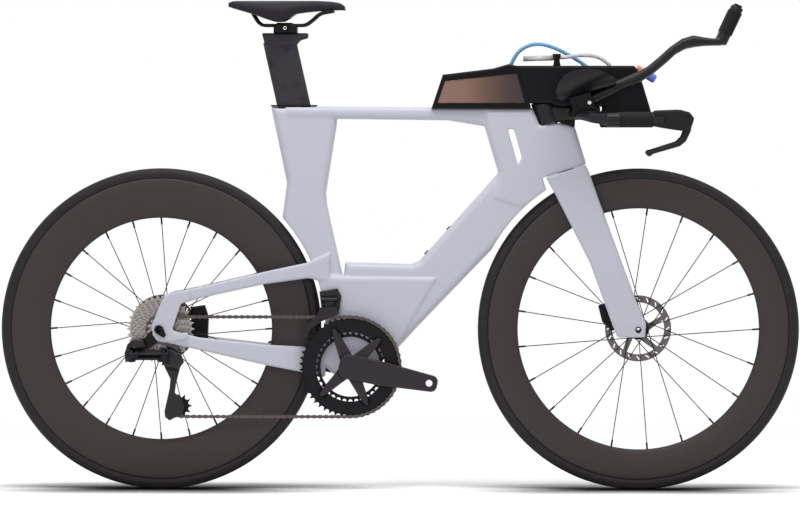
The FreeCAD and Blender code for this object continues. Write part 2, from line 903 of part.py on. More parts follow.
LEG_PIXELS = [
    (150, 541, 579), (177, 545.8, 591), (190, 552.9, 595.6), (216, 566.2, 604.9),
    (262.5, 589.8, 622), (300, 603.5, 636), (322, 611.5, 646), (336.3, 617, 645),
]
CROWN_PIXELS = [(541, 150), (579, 150), (590, 175), (587, 192), (556, 196), (545.8, 177)]
LEG_SPREAD_PIXELS = (190, 315)


def fork_leg():
    wires = []
    first, last = LEG_SPREAD_PIXELS
    for down, rear, front in LEG_PIXELS:
        share = min(1.0, max(0.0, (down - first) / (last - first)))
        inner = float(s.leg_inner_top) + share * (float(s.front_half_space) - float(s.leg_inner_top))
        top_thick = float(s.leg_outer_top) - float(s.leg_inner_top)
        thick = top_thick + share * (float(s.leg_thick_bottom) - top_thick)
        centre = vec(0.5 * (px(rear) + px(front)), inner + thick / 2, pz(down))
        half = (float(px(front)) - float(px(rear))) / 2
        wires.append(rounded_wire(centre, Vector(1, 0, 0), Vector(0, 1, 0), half, thick / 2, thick * 0.45))
    return loft(wires, True)


def fork():
    leg = fork_leg()
    crown = prism("fork_crown", side(CROWN_PIXELS), 2 * s.crown_half)
    legs = [feature("fork_leg_left", leg), feature("fork_leg_right", mirrored(leg))]
    solid = fused("fork_solid", legs + [crown])
    arch = cross_cylinder("fork_arch", s.tyre_radius + s.arch_gap, s.leg_inner_top, front_x, axle_z)
    top = s.crown_height - 2 * s.turning_gap
    above = steering_cylinder("fork_above", 3 * s.crown_swing, top, top + 3 * s.crown_swing)
    bores = cross_cylinder("front_axle_tool", s.axle_radius, 2 * s.front_half_space, front_x, axle_z)
    trimmed = cut("fork_trimmed", solid, [arch, above, bores])
    steerer = steering_cylinder("steerer", s.steerer_radius, top - s.boss_depth, s.steerer_top)
    keep(fused("fork", [trimmed, steerer]), "fork")


# Headset: two bearings in the head tube and a fixed cover that fills up to the turning plane

COVER_PIXELS = [(540, 122.9), (553.8, 121), (574.6, 126.7), (575.5, 110.6), (538, 122.4)]


def headset():
    low = steering_cylinder("bearing_low", s.head_bore, s.crown_height, s.crown_height + s.bearing_height)
    high = steering_cylinder("bearing_high", s.head_bore, s.cover_height - s.bearing_height * 3,
                             s.cover_height - s.bearing_height * 2)
    bore = steering_cylinder("bearing_bore", s.steerer_radius + s.running_gap, s.crown_height - s.overrun,
                             s.cover_height + s.overrun)
    keep(cut("headset_bearings", fused("bearing_solid", [low, high]), [bore]), "headset_bearings")
    block = prism("headset_cover_block", side(COVER_PIXELS), s.cover_width)
    hole = steering_cylinder("cover_hole", s.steerer_radius + s.seam_gap, s.crown_height,
                             s.cover_height + s.crown_swing)
    swing = feature("cover_cone", above_cone(-s.turning_gap, CONE_REACH))
    keep(cut("headset_cover", block, [hole, swing, nodes["frame"]]), "headset_cover")


# Bottom bracket cups: thin flanged sleeves pressed in the shell, the spindle runs inside

def bottom_bracket():
    bore = s.spindle_radius + s.running_gap
    outer = s.bb_shell_half + s.cup_flange
    inner = s.bb_shell_half - 4 * s.cup_flange
    right = [(-outer, bore), (-outer, s.cup_radius), (-s.bb_shell_half, s.cup_radius)]
    right += [(-s.bb_shell_half, s.bb_bore), (-inner, s.bb_bore), (-inner, bore)]
    left = [(-a, r) for a, r in right]
    cups = []
    for name, loop in (("right", right), ("left", left)):
        cups.append(put(turned(f"bb_cup_{name}", loop), bb_x, zero, bb_z))
    keep(fused("bottom_bracket_cups", cups), "bottom_bracket_cups")


# Seat post, its rubber collar and the saddle clamp

POST_HEAD_PIXELS = [(262, 33.2), (308.5, 33.2), (308, 38.5), (300.5, 40.5), (297, 45), (266, 48)]
CLAMP_PIXELS = [(274, 33.2), (274, 26), (278, 22.9), (292, 22.9), (297.5, 26), (297.5, 33.2)]
COLLAR_DOWN = 106.4
GROOVE_START = 270


def seat_post():
    shaft = feature("post_shaft", loft([post_wire(-s.post_inside, zero), post_wire(s.post_above, zero)]))
    head = prism("post_head", side(POST_HEAD_PIXELS), 2 * s.post_head_half, rounding=s.post_head_round)
    keep(fused("seatpost", [shaft, head]), "seatpost")
    lip = float(s.collar_spare)
    low, high = pz(COLLAR_DOWN), pz(COLLAR_DOWN) + s.collar_height
    wires = []
    for z in (low, high):
        up = (float(z) - post_mouth.z) / post_up.z
        centre = post_mouth + post_up * up
        wide = float(s.post_width) / 2 + lip * 0.5
        deep = float(s.post_depth) / 2 + 2 * lip
        wires.append(rounded_wire(centre, Vector(1, 0, 0), Vector(0, 1, 0), deep, wide, wide * 0.9))
    ring = feature("collar_ring", loft(wires))
    ends = [post_wire(-s.post_inside, s.seam_gap), post_wire(s.post_above, s.seam_gap)]
    hole = feature("collar_hole", loft(ends))
    keep(cut("seat_collar", ring, [hole]), "seat_collar")


def saddle_clamp():
    block = prism("clamp_block", side(CLAMP_PIXELS), 2 * s.clamp_half, rounding=s.clamp_round)
    grooves = []
    for name, way in (("left", 1), ("right", -1)):
        grooves.append(cylinder(
            f"rail_groove_{name}", s.rail_radius + s.seam_gap, 30 * s.rail_radius,
            px(GROOVE_START), way * s.rail_spread, pz(RAIL_DOWN), Rotation(Vector(0, 1, 0), 90),
        ))
    keep(cut("saddle_clamp", block, grooves), "saddle_clamp")


# Tube path: straight runs joined by tangent arcs

BEND_SHARE = 0.45


def tube_path(points):
    """Wire of straight runs and arcs through the given corner points."""
    edges = []
    radii = []
    start = points[0]
    for before, corner, after in zip(points, points[1:], points[2:]):
        back = before - corner
        ahead = after - corner
        reach = BEND_SHARE * min(back.Length, ahead.Length)
        turn = math.pi - back.getAngle(ahead)
        radii.append(reach / math.tan(turn / 2))
        back.normalize()
        ahead.normalize()
        enter = corner + back * reach
        leave = corner + ahead * reach
        middle = back + ahead
        middle.normalize()
        depth = radii[-1] / math.cos(turn / 2) - radii[-1]
        edges.append(Part.LineSegment(start, enter).toShape())
        edges.append(Part.Arc(enter, corner + middle * depth, leave).toShape())
        start = leave
    edges.append(Part.LineSegment(start, points[-1]).toShape())
    return Part.Wire(edges), radii


def tube(name, points, radius, bore=None):
    path, radii = tube_path(points)
    run = points[1] - points[0]
    rings = [radius] if bore is None else [radius, bore]
    sweeps = []
    for r in rings:
        ring = Part.Wire(Part.Circle(points[0], run, float(r)).toShape())
        sweeps.append(path.makePipeShell([ring], True, False))
    shape = sweeps[0] if bore is None else sweeps[0].cut(sweeps[1])
    inner = 0 if bore is None else float(bore)
    section = math.pi * (float(radius) ** 2 - inner ** 2)
    print(name, "bend radii", [round(r, 1) for r in radii])
    print(name, "volume over section times length", round(shape.Volume / (section * path.Length), 4))
    return shape


# Saddle: rails, shell and padded cover; stations are (across, top, lower edge) pixels and half widths

RAIL_DOWN = 25.6
ARCH_DOWN = 17.0
SADDLE_PIXELS = [
    (229.3, 3.5, 6.3), (235, 1.0, 8.6), (246, 0.9, 12.2), (256, 0.9, 15.4), (267, 0.9, 19.8),
    (276, 0.9, 22.7), (283.5, 0.9, 22.7), (290, 0.9, 19.4), (296, 0.9, 14.8), (306, 0.9, 13.2),
    (318, 0.9, 11.8), (332, 1.7, 10.8), (341, 3.3, 10.0), (345.7, 7.0, 9.6),
]
SADDLE_HALF_SHARES = [0.78, 0.95, 1.0, 0.97, 0.88, 0.77, 0.68, 0.6, 0.53, 0.45, 0.39, 0.35, 0.31, 0.22]
RAIL_PIXELS = [
    (253, 13.5), (258.5, 22.5), (263, RAIL_DOWN), (306, RAIL_DOWN), (313.5, 20), (320, 13.8), (334, 11.2),
]
EDGE_SHARE = 0.8
SKIRT_SHARE = 0.74
ARCH_SHARE = 0.68
SHOULDER_SHARE = 0.86
LEAST_ARCH_SHARE = 0.15


def arch_level(top, low):
    """Height of the hollow under the saddle, over the rails and the clamp."""
    return max(float(pz(ARCH_DOWN)), float(low) + LEAST_ARCH_SHARE * (float(top) - float(low)))


def saddle_section(x, top, low, half):
    """Crowned top, drawn-in sides and an arched underside."""
    height = float(top) - float(low)
    half = float(half)
    arch = (arch_level(top, low) - float(low)) / height

    def spot(across, up):
        return Vector(float(x), across * half, float(low) + up * height)

    edge, shoulder = EDGE_SHARE, SHOULDER_SHARE
    under = [(edge, 0), (SKIRT_SHARE, 0), (ARCH_SHARE, arch)]
    under = [(-across, up) for across, up in under] + under[::-1]
    edges = [
        Part.Arc(spot(edge, 0), spot(1.0, 0.5), spot(edge, shoulder)).toShape(),
        Part.Arc(spot(edge, shoulder), spot(0, 1), spot(-edge, shoulder)).toShape(),
        Part.Arc(spot(-edge, shoulder), spot(-1.0, 0.5), spot(-edge, 0)).toShape(),
    ]
    for first, last in zip(under, under[1:]):
        edges.append(Part.LineSegment(spot(*first), spot(*last)).toShape())
    return Part.Wire(edges)


def shell_section(x, top, low, half):
    half = ARCH_SHARE * float(half)
    high = arch_level(top, low)
    down = high - float(s.shell_thick)
    corners = [vec(x, half, high), vec(x, -half, high), vec(x, -half * 0.9, down), vec(x, half * 0.9, down)]
    return Part.makePolygon(corners + corners[:1])


def saddle():
    cover, shell = [], []
    for (across, top, low), share in zip(SADDLE_PIXELS, SADDLE_HALF_SHARES):
        half = share * s.saddle_half
        cover.append(saddle_section(px(across), pz(top), pz(low), half))
        shell.append(shell_section(px(across), pz(top), pz(low), half))
    keep(feature("saddle_cover", loft(cover, True)), "saddle_cover")
    rails = []
    for way in (1, -1):
        points = [vec(px(a), way * s.rail_spread, pz(d)) for a, d in RAIL_PIXELS]
        rails.append(tube("saddle_rail", points, s.rail_radius))
    under = loft(shell, True)
    pieces = [max(cut_one.Solids, key=solid_volume) for cut_one in
              (rail.cut(loft(cover, True)).cut(under) for rail in rails)]
    keep(feature("saddle_rails", Part.makeCompound(pieces)), "saddle_rails")
    keep(feature("saddle_shell", under), "saddle_shell")


def solid_volume(solid):
    return solid.Volume


# Cranks: the right arm carries the spider and the spindle

CRANK_ANGLE = 11.3
SPIDER_ANGLES = (54.5, 125.0, -54.5, -125.0)
SPIDER_SHARES = [(0.45, 1.9), (0.8, 1.35), (1.0, 0.55)]
crank_cos = math.cos(math.radians(CRANK_ANGLE))
crank_sin = math.sin(math.radians(CRANK_ANGLE))


def crank_blade(name, way):
    root, end = s.crank_root, s.crank_end
    reach = s.crank_length + s.crank_reach
    outline = [
        (-0.9 * root, -root), (0.4 * s.crank_length, -0.98 * root), (reach, -end),
        (reach, end), (0.4 * s.crank_length, 0.98 * root), (-0.9 * root, root),
    ]
    blade = prism(
        name, outline, s.crank_outer - s.crank_inner,
        corners=[(s.crank_corner, (2, 3)), (s.crank_back_corner, (0, 5))], rounding=s.crank_round,
    )
    turn = Rotation(Vector(0, 1, 0), CRANK_ANGLE if way < 0 else CRANK_ANGLE + 180)
    return put(blade, bb_x, 0.5 * way * (s.crank_inner + s.crank_outer), bb_z, turn)


def pedal_thread(name, way):
    x = bb_x - way * crank_cos * s.crank_length
    z = bb_z + way * crank_sin * s.crank_length
    return cross_cylinder(name, s.pedal_hole, s.crank_outer + s.overrun, x, z)


def spider_arm(number, angle):
    lower = [(along * s.spider_reach, -wide * s.spider_tip) for along, wide in SPIDER_SHARES]
    upper = [(along * s.spider_reach, wide * s.spider_tip) for along, wide in reversed(SPIDER_SHARES)]
    outline = [(zero, -s.spider_root)] + lower + upper + [(zero, s.spider_root)]
    arm = prism(f"spider_{number}", outline, s.spider_outer - s.spider_inner)
    turn = Rotation(Vector(0, 1, 0), CRANK_ANGLE - angle)
    return put(arm, bb_x, -0.5 * (s.spider_outer + s.spider_inner), bb_z, turn)


def cranks():
    inside = 0.5 * (s.crank_inner + s.crank_outer)
    length = inside - s.boss_inner
    spindle = cross_cylinder("spindle", s.spindle_radius, inside, bb_x, bb_z)
    right = [crank_blade("right_blade", -1), spindle]
    right.append(cylinder("right_boss", s.boss_round, length, bb_x, -inside, bb_z))
    right += [spider_arm(i, angle) for i, angle in enumerate(SPIDER_ANGLES)]
    tools = [pedal_thread("right_thread", -1)]
    keep(cut("crank_right", fused("crank_right_solid", right), tools), "crank_right")
    left = [crank_blade("left_blade", 1)]
    left.append(cylinder("left_boss", s.boss_round, length, bb_x, s.boss_inner, bb_z))
    tools = [pedal_thread("left_thread", 1)]
    tools.append(cross_cylinder("left_socket", s.spindle_radius, inside, bb_x, bb_z))
    keep(cut("crank_left", fused("crank_left_solid", left), tools), "crank_left")


# Toothed wheels: seats are circles about the roller places, drawn with straight lines

SEAT_STEPS = (-60, -30, 0, 30, 60)


def pitch_radius(teeth):
    return float(s.chain_pitch) / (2 * math.sin(math.pi / teeth))


def toothed(teeth, thick, phase):
    """Toothed disc about the Y axis, with a roller seat at the phase angle (radians)."""
    radius = pitch_radius(teeth)
    seat = float(s.tooth_seat)
    tip = radius + float(s.tooth_height)
    spots = []
    for number in range(teeth):
        middle = phase + 2 * math.pi * number / teeth
        centre = Vector(math.cos(middle), 0, math.sin(middle)) * radius
        for step in SEAT_STEPS:
            way = middle + math.pi - math.radians(step)
            spots.append(centre + Vector(math.cos(way), 0, math.sin(way)) * seat)
        for half in (-1, 1):
            way = middle + math.pi / teeth + half * float(s.tooth_tip) / tip
            spots.append(Vector(math.cos(way), 0, math.sin(way)) * tip)
    face = Part.Face(Part.makePolygon(spots + spots[:1]))
    face.translate(Vector(0, -float(thick) / 2, 0))
    return face.extrude(Vector(0, float(thick), 0))


def disc(radius, low, high):
    height = float(high) - float(low)
    return Part.makeCylinder(float(radius), height, Vector(0, float(low), 0), Vector(0, 1, 0))


# Chain loop: ring, lower pulley, upper pulley and sprocket, each turning its own way

RING_TEETH = 52
SMALL_RING_TEETH = 36
PULLEY_TEETH = 11
SPROCKET_TEETH = [11, 12, 13, 14, 15, 17, 19, 21, 24, 27, 30, 34]
CHAIN_SPROCKET = 2
GUIDE_PIXELS = (170.5, 355.5)
CAGE_SWING = (75.0, 88.0)
HOLD_PITCHES = 4
chain_y = -(s.sprocket_plane - CHAIN_SPROCKET * s.sprocket_step)
guide_x, guide_z = px(GUIDE_PIXELS[0]), pz(GUIDE_PIXELS[1])


def tangent(first, second):
    """Straight run leaving one wheel and meeting the next; wheels are (x, z, radius, way)."""
    x1, z1, r1, way1 = first
    x2, z2, r2, way2 = second
    across = way2 * r2 - way1 * r1
    apart = math.hypot(x2 - x1, z2 - z1)
    run = math.sqrt(apart * apart - across * across)
    heading = math.atan2(z2 - z1, x2 - x1) - math.atan2(across, run)
    left_x, left_z = -math.sin(heading), math.cos(heading)
    leave = (x1 - way1 * r1 * left_x, z1 - way1 * r1 * left_z)
    meet = (x2 - way2 * r2 * left_x, z2 - way2 * r2 * left_z)
    return leave, meet, run


def chain_wheels(swing):
    tension_x = float(guide_x) + float(s.cage_length) * math.cos(math.radians(swing))
    tension_z = float(guide_z) - float(s.cage_length) * math.sin(math.radians(swing))
    return [
        (float(bb_x), float(bb_z), RING_TEETH, -1, -float(s.ring_plane)),
        (tension_x, tension_z, PULLEY_TEETH, -1, float(chain_y)),
        (float(guide_x), float(guide_z), PULLEY_TEETH, 1, float(chain_y)),
        (float(rear_x), float(axle_z), SPROCKET_TEETH[CHAIN_SPROCKET], -1, float(chain_y)),
    ]


def chain_runs(swing):
    """For each wheel: its entry angle, its turn in pitches, and the straight run after it."""
    wheels_now = chain_wheels(swing)
    plain = [(x, z, pitch_radius(teeth), way) for x, z, teeth, way, y in wheels_now]
    count = len(plain)
    lines = [tangent(plain[i], plain[(i + 1) % count]) for i in range(count)]
    runs = []
    for i, (x, z, radius, way) in enumerate(plain):
        meet = lines[i - 1][1]
        leave = lines[i][0]
        enter = math.atan2(meet[1] - z, meet[0] - x)
        depart = math.atan2(leave[1] - z, leave[0] - x)
        sweep = (way * (depart - enter)) % (2 * math.pi)
        teeth = wheels_now[i][2]
        runs.append((enter, sweep * teeth / (2 * math.pi), lines[i]))
    return wheels_now, runs


def chain_count(swing):
    wheels_now, runs = chain_runs(swing)
    return sum(turn + line[2] / float(s.chain_pitch) for enter, turn, line in runs)


def cage_swing():
    """Swing of the cage that closes the chain on a whole, even number of links."""
    low, high = CAGE_SWING
    middle = chain_count((low + high) / 2)
    wanted = 2 * round(middle / 2)
    rising = chain_count(high) > chain_count(low)
    for step in range(60):
        swing = (low + high) / 2
        if (chain_count(swing) > wanted) == rising:
            high = swing
        else:
            low = swing
    return swing, wanted


swing_angle, link_count = cage_swing()
chain_wheel_list, chain_run_list = chain_runs(swing_angle)
tension_x, tension_z = chain_wheel_list[1][:2]
print("cage swing", round(swing_angle, 3), "links", link_count)


def roller_points():
    """Centres of all rollers and, for each wheel, the angle of its first roller."""
    points, phases = [], []
    position = 0.0
    number = 0
    count = len(chain_wheel_list)
    for i in range(count):
        x, z, teeth, way, y = chain_wheel_list[i]
        enter, turn, (leave, meet, run) = chain_run_list[i]
        radius = pitch_radius(teeth)
        first = True
        while number < position + turn - NEAR:
            angle = enter + way * (number - position) * 2 * math.pi / teeth
            points.append(Vector(x + radius * math.cos(angle), y, z + radius * math.sin(angle)))
            if first:
                phases.append(angle)
                first = False
            number += 1
        position += turn
        pitches = run / float(s.chain_pitch)
        next_y = chain_wheel_list[(i + 1) % count][4]
        while number < position + pitches - NEAR and number < link_count:
            share = (number - position) / pitches
            spot_x = leave[0] + share * (meet[0] - leave[0])
            spot_z = leave[1] + share * (meet[1] - leave[1])
            slide = (number - position - HOLD_PITCHES) / max(1.0, pitches - 2 * HOLD_PITCHES)
            slide = min(1.0, max(0.0, slide))
            points.append(Vector(spot_x, y + slide * (next_y - y), spot_z))
            number += 1
        position += pitches
    return points, phases


rollers, wheel_phases = roller_points()


WAIST_SHARE = 0.66
WAIST_START = math.radians(60)


def plate(length, low, high, bore):
    """Link plate: two round ends joined by a narrower waist."""
    half = float(s.plate_half)
    waist = WAIST_SHARE * half
    step, rise = half * math.cos(WAIST_START), half * math.sin(WAIST_START)
    near_top, near_low = Vector(step, 0, rise), Vector(step, 0, -rise)
    far_top, far_low = Vector(length - step, 0, rise), Vector(length - step, 0, -rise)
    ends = [
        Part.Arc(near_top, Vector(length / 2, 0, waist), far_top).toShape(),
        Part.Arc(far_top, Vector(length + half, 0, 0), far_low).toShape(),
        Part.Arc(far_low, Vector(length / 2, 0, -waist), near_low).toShape(),
        Part.Arc(near_low, Vector(-half, 0, 0), near_top).toShape(),
    ]
    face = Part.Face(Part.Wire(ends))
    face.translate(Vector(0, low, 0))
    solid = face.extrude(Vector(0, high - low, 0))
    return solid.cut(pin_pair(length, low, high, bore)) if bore else solid


def pin_pair(length, low, high, radius):
    along = Vector(0, 1, 0)
    pins = [Part.makeCylinder(radius, high - low, Vector(x, low, 0), along) for x in (0, length)]
    return Part.makeCompound(pins)


def chain_link(length, inner):
    gap, thick = float(s.link_gap), float(s.plate_thick)
    bore = float(s.pin_radius) + float(s.pin_gap)
    if inner:
        parts = [plate(length, gap, gap + thick, bore), plate(length, -gap - thick, -gap, bore)]
        drums = pin_pair(length, -gap, gap, float(s.roller_radius)).cut(pin_pair(length, -gap, gap, bore))
        return parts[0].multiFuse([parts[1]] + drums.Solids)
    low = gap + thick + float(s.plate_gap)
    high = low + thick
    pins = pin_pair(length, -high, high, float(s.pin_radius))
    return plate(length, low, high, 0).multiFuse([plate(length, -high, -low, 0)] + pins.Solids)


def chain():
    made = []
    for i, start in enumerate(rollers):
        end = rollers[(i + 1) % len(rollers)]
        run = end - start
        link = chain_link(run.Length, i % 2 == 0)
        link.Placement = Placement(start, Rotation(run, Vector(0, 1, 0), Vector(), "XYZ"))
        made.append(link)
    keep(feature("chain", Part.makeCompound(made)), "chain")


def chainrings():
    thick = float(s.ring_thick)
    big = toothed(RING_TEETH, thick, wheel_phases[0])
    big.translate(vec(0, -s.ring_plane, 0))
    big = big.cut(disc(s.ring_band - s.overrun, -2 * s.ring_plane, zero))
    front = -s.ring_plane - 0.5 * s.ring_body
    back = front + s.ring_body
    band = disc(s.ring_band, front, back).cut(disc(s.ring_window, front, back))
    small = toothed(SMALL_RING_TEETH, thick, wheel_phases[0])
    small.translate(vec(0, -s.small_ring_plane, 0))
    small = small.cut(disc(s.small_ring_window, -2 * s.small_ring_plane, zero))
    parts = [band, small]
    for angle in SPIDER_ANGLES:
        turn = math.radians(angle - CRANK_ANGLE)
        way = Vector(math.cos(turn), 0, math.sin(turn))
        spot = way * float(s.ring_bolt_circle)
        length = float(s.ring_plane) - float(s.small_ring_plane) + thick
        start = spot + vec(0, -s.ring_plane - 0.5 * s.ring_thick, 0)
        parts.append(Part.makeCylinder(float(s.ring_bolt), length, start, Vector(0, 1, 0)))
        across = Vector(0, 1, 0).cross(way) * float(s.ring_tab) / 2
        inner = way * (float(s.ring_bolt_circle) - float(s.ring_bolt))
        outer = way * (float(s.ring_window) + float(s.overrun))
        corners = [inner + across, inner - across, outer - across, outer + across]
        face = Part.Face(Part.makePolygon(corners + corners[:1]))
        face.translate(vec(0, -s.ring_plane - 0.5 * s.ring_thick, 0))
        parts.append(face.extrude(Vector(0, thick, 0)))
    shape = big.multiFuse(parts).removeSplitter()
    keep(feature("chainrings", shape, Placement(vec(bb_x, 0, bb_z), Rotation())), "chainrings")


WINDOW_COUNT = 10


def cassette():
    low = -s.sprocket_plane - s.overrun
    body = disc(s.freehub_radius, low, -s.rear_flange_right - s.flange_width - s.turning_gap)
    parts = []
    for number, teeth in enumerate(SPROCKET_TEETH):
        sprocket = toothed(teeth, s.sprocket_thick, wheel_phases[3])
        root = pitch_radius(teeth) - float(s.tooth_seat)
        room = root - float(s.freehub_radius)
        if room > float(s.freehub_radius):
            holes = []
            for i in range(WINDOW_COUNT):
                reach = float(s.freehub_radius) + room * 0.55
                spot = spoke_point(reach, 360.0 * i / WINDOW_COUNT, -float(s.overrun))
                holes.append(Part.makeCylinder(room * 0.27, 2 * float(s.overrun), spot, Vector(0, 1, 0)))
            sprocket = sprocket.cut(Part.makeCompound(holes))
        sprocket.translate(vec(0, -s.sprocket_plane + number * s.sprocket_step, 0))
        parts.append(sprocket)
    shape = body.multiFuse(parts)
    shape = shape.cut(disc(s.freehub_bore, 2 * low, zero)).removeSplitter()
    keep(feature("cassette", shape, Placement(vec(rear_x, 0, axle_z), Rotation())), "cassette")


def pulley(name, x, z, phase):
    shape = toothed(PULLEY_TEETH, s.pulley_thick, phase)
    half = float(s.cage_half) - float(s.turning_gap)
    hub = disc(s.pulley_bore_wall, -half, half)
    shape = shape.fuse(hub).cut(disc(s.pulley_bolt + s.running_gap, -2 * half, 2 * half))
    keep(feature(name, shape, Placement(vec(x, chain_y, z), Rotation())), name)


# Rear derailleur: slanted parallelogram between two knuckles, then the sprung cage

PIVOT_AXIS = Vector(0, 0.8, 0.6)
SWING_WAY = Vector(0, 0.6, -0.8)
PIVOT_TILT = math.radians(27.6)
REAR_PIVOT_PIXELS = (138.6, 351.5)
PIVOT_Y_SHARE = 1.157
pivot_y = -PIVOT_Y_SHARE * (s.rear_half_space + s.dropout_thick)
rear_pivot = vec(px(REAR_PIVOT_PIXELS[0]), pivot_y, pz(REAR_PIVOT_PIXELS[1]))
HANGER_PIXELS = [
    (160, 330), (160, 341), (152, 347), (143, 350), (136.5, 347), (136, 341), (147, 337), (153, 330),
]
HANGER_NUT_PIXELS = [
    (161, 324), (164.6, 325.5), (166.3, 329.5), (168, 334), (166, 336.5), (162.5, 335), (157.5, 331.5),
    (156.3, 328.5), (157.7, 325.2),
]
HANGER_BOLT_PIXELS = (141.2, 343.5)
B_KNUCKLE_PIXELS = [
    (127, 352), (130, 343), (135, 338.3), (146, 338.5), (148, 345.5), (132.2, 346.3), (132, 360), (128, 361),
]
P_KNUCKLE_PIXELS = [(166.5, 347.5), (174, 348.5), (183, 353), (186, 361), (180, 369), (167, 366)]
CAGE_PIXELS = [
    (174.5, 348.5), (179, 354), (183, 362), (180, 372), (177, 384), (176, 392), (184, 399), (186, 406),
    (184, 413), (171, 419.5), (166.5, 416), (166, 410), (171, 388), (172, 378), (166, 366), (163, 357),
    (168, 349),
]


pivot_setback = math.sin(PIVOT_TILT) * s.link_spacing


def pivot_spots(base):
    """Outer and inner pivot; the step between them leans back so that the links never meet."""
    across = SWING_WAY * math.cos(PIVOT_TILT) * float(s.link_spacing)
    return [base, base + across - vec(pivot_setback, 0, 0)]


def pivot_rod(spot, radius, half):
    start = spot - PIVOT_AXIS * float(half)
    return Part.makeCylinder(float(radius), 2 * float(half), start, PIVOT_AXIS)


def ears(spot, way, spare):
    """Two ears holding a pivot pin, joined by a back plate on the far side of the link."""
    reach = s.pivot_ear + s.ear_thick
    parts = []
    for side_way in (1, -1):
        start = spot + PIVOT_AXIS * side_way * float(s.pivot_ear)
        parts.append(Part.makeCylinder(float(s.pivot_ear), float(s.ear_thick), start, PIVOT_AXIS * side_way))
        parts.append(slab(start, PIVOT_AXIS * side_way * float(s.ear_thick), way * reach))
    back = spot + Vector(way, 0, 0) * float(s.pivot_ear) - PIVOT_AXIS * float(reach)
    parts.append(slab(back, PIVOT_AXIS * 2 * float(reach), way * (s.ear_thick + spare)))
    return parts


def slab(start, rise, length):
    """Block of a pivot's ears: a strip along X, as wide as the ear."""
    across = SWING_WAY * float(s.pivot_ear)
    run = vec(length, 0, 0)
    corners = [start + across, start - across, start - across + run, start + across + run]
    return Part.Face(Part.makePolygon(corners + corners[:1])).extrude(rise)


def pin_holes(base):
    reach = float(s.pivot_ear) + 2 * float(s.ear_thick)
    bore = float(s.pivot_pin) + float(s.running_gap)
    return Part.makeCompound([pivot_rod(spot, bore, reach) for spot in pivot_spots(base)])


def derailleur_link(name, start):
    end = start + vec(s.link_length, 0, 0)
    half = float(s.pivot_half)
    pin_half = float(s.pivot_ear) + float(s.ear_thick)
    across = SWING_WAY * float(s.arm_half)
    low = PIVOT_AXIS * half
    corners = [start + across - low, start - across - low, end - across - low, end + across - low]
    arm = Part.Face(Part.makePolygon(corners + corners[:1])).extrude(low * 2)
    parts = []
    for spot in (start, end):
        parts.append(pivot_rod(spot, s.pivot_barrel, half))
        parts.append(pivot_rod(spot, s.pivot_pin, pin_half))
    keep(feature(name, arm.multiFuse(parts).removeSplitter()), name)


def rear_derailleur():
    front_pivot = rear_pivot + vec(s.link_length, 0, 0)
    face = s.rear_half_space + s.dropout_thick
    arm = put(prism("hanger_plate", side(HANGER_PIXELS), s.hanger_arm), y=-face + 0.5 * s.hanger_arm)
    nut = put(prism("hanger_nut", side(HANGER_NUT_PIXELS), s.hanger_thick), y=-face - 0.5 * s.hanger_thick)
    bolt_x, bolt_z = px(HANGER_BOLT_PIXELS[0]), pz(HANGER_BOLT_PIXELS[1])
    boss_radius = 1.4 * s.pulley_bore_wall
    boss = cylinder("hanger_boss", boss_radius, s.hanger_thick, bolt_x, -face - s.hanger_thick, bolt_z)
    bolt_hole = cross_cylinder("hanger_bolt_hole", s.pulley_bore_wall, 2 * face, bolt_x, bolt_z)
    axle_hole = cross_cylinder("hanger_axle_hole", s.axle_radius, 2 * face, rear_x, axle_z)
    lower = cut("hanger_lower", fused("hanger_arm", [arm, boss]), [bolt_hole, axle_hole, nodes["frame"]])
    upper = cut("hanger_upper", nut, [axle_hole])
    keep(fused("derailleur_hanger", [lower, upper]), "derailleur_hanger")
    outside = -face - s.hanger_thick
    knuckle = prism("b_knuckle_block", side(B_KNUCKLE_PIXELS), s.knuckle_thick, rounding=s.dropout_round)
    put(knuckle, y=outside - 0.5 * s.knuckle_thick)
    bolt_length = s.knuckle_thick + s.hanger_thick + s.hanger_arm
    bolt = cylinder("b_bolt", s.pulley_bore_wall, bolt_length, bolt_x, outside - s.knuckle_thick, bolt_z)
    parts = []
    for spot, spare in zip(pivot_spots(rear_pivot), (pivot_setback, zero)):
        parts += ears(spot, -1, spare)
    doc.recompute()
    shape = knuckle.Shape.multiFuse([bolt.Shape] + parts)
    keep(feature("rd_b_knuckle", shape.cut(pin_holes(rear_pivot)).removeSplitter()), "rd_b_knuckle")
    for name, spot in zip(("rd_outer_link", "rd_inner_link"), pivot_spots(rear_pivot)):
        derailleur_link(name, spot)
    low = chain_y - s.cage_half - s.cage_thick - s.turning_gap
    thick = 1.6 * s.knuckle_thick
    block = prism("p_knuckle_block", side(P_KNUCKLE_PIXELS), thick, rounding=s.stay_round)
    put(block, y=low - 0.5 * thick)
    parts = []
    for spot, spare in zip(pivot_spots(front_pivot), (zero, pivot_setback)):
        parts += ears(spot, 1, spare)
    doc.recompute()
    bore = disc(s.knuckle_pin + s.running_gap, low - s.knuckle_thick - s.overrun, zero)
    bore.translate(vec(guide_x, 0, guide_z))
    shape = block.Shape.multiFuse(parts).cut(pin_holes(front_pivot)).cut(bore).removeSplitter()
    keep(feature("rd_p_knuckle", shape), "rd_p_knuckle")
    cage(low)


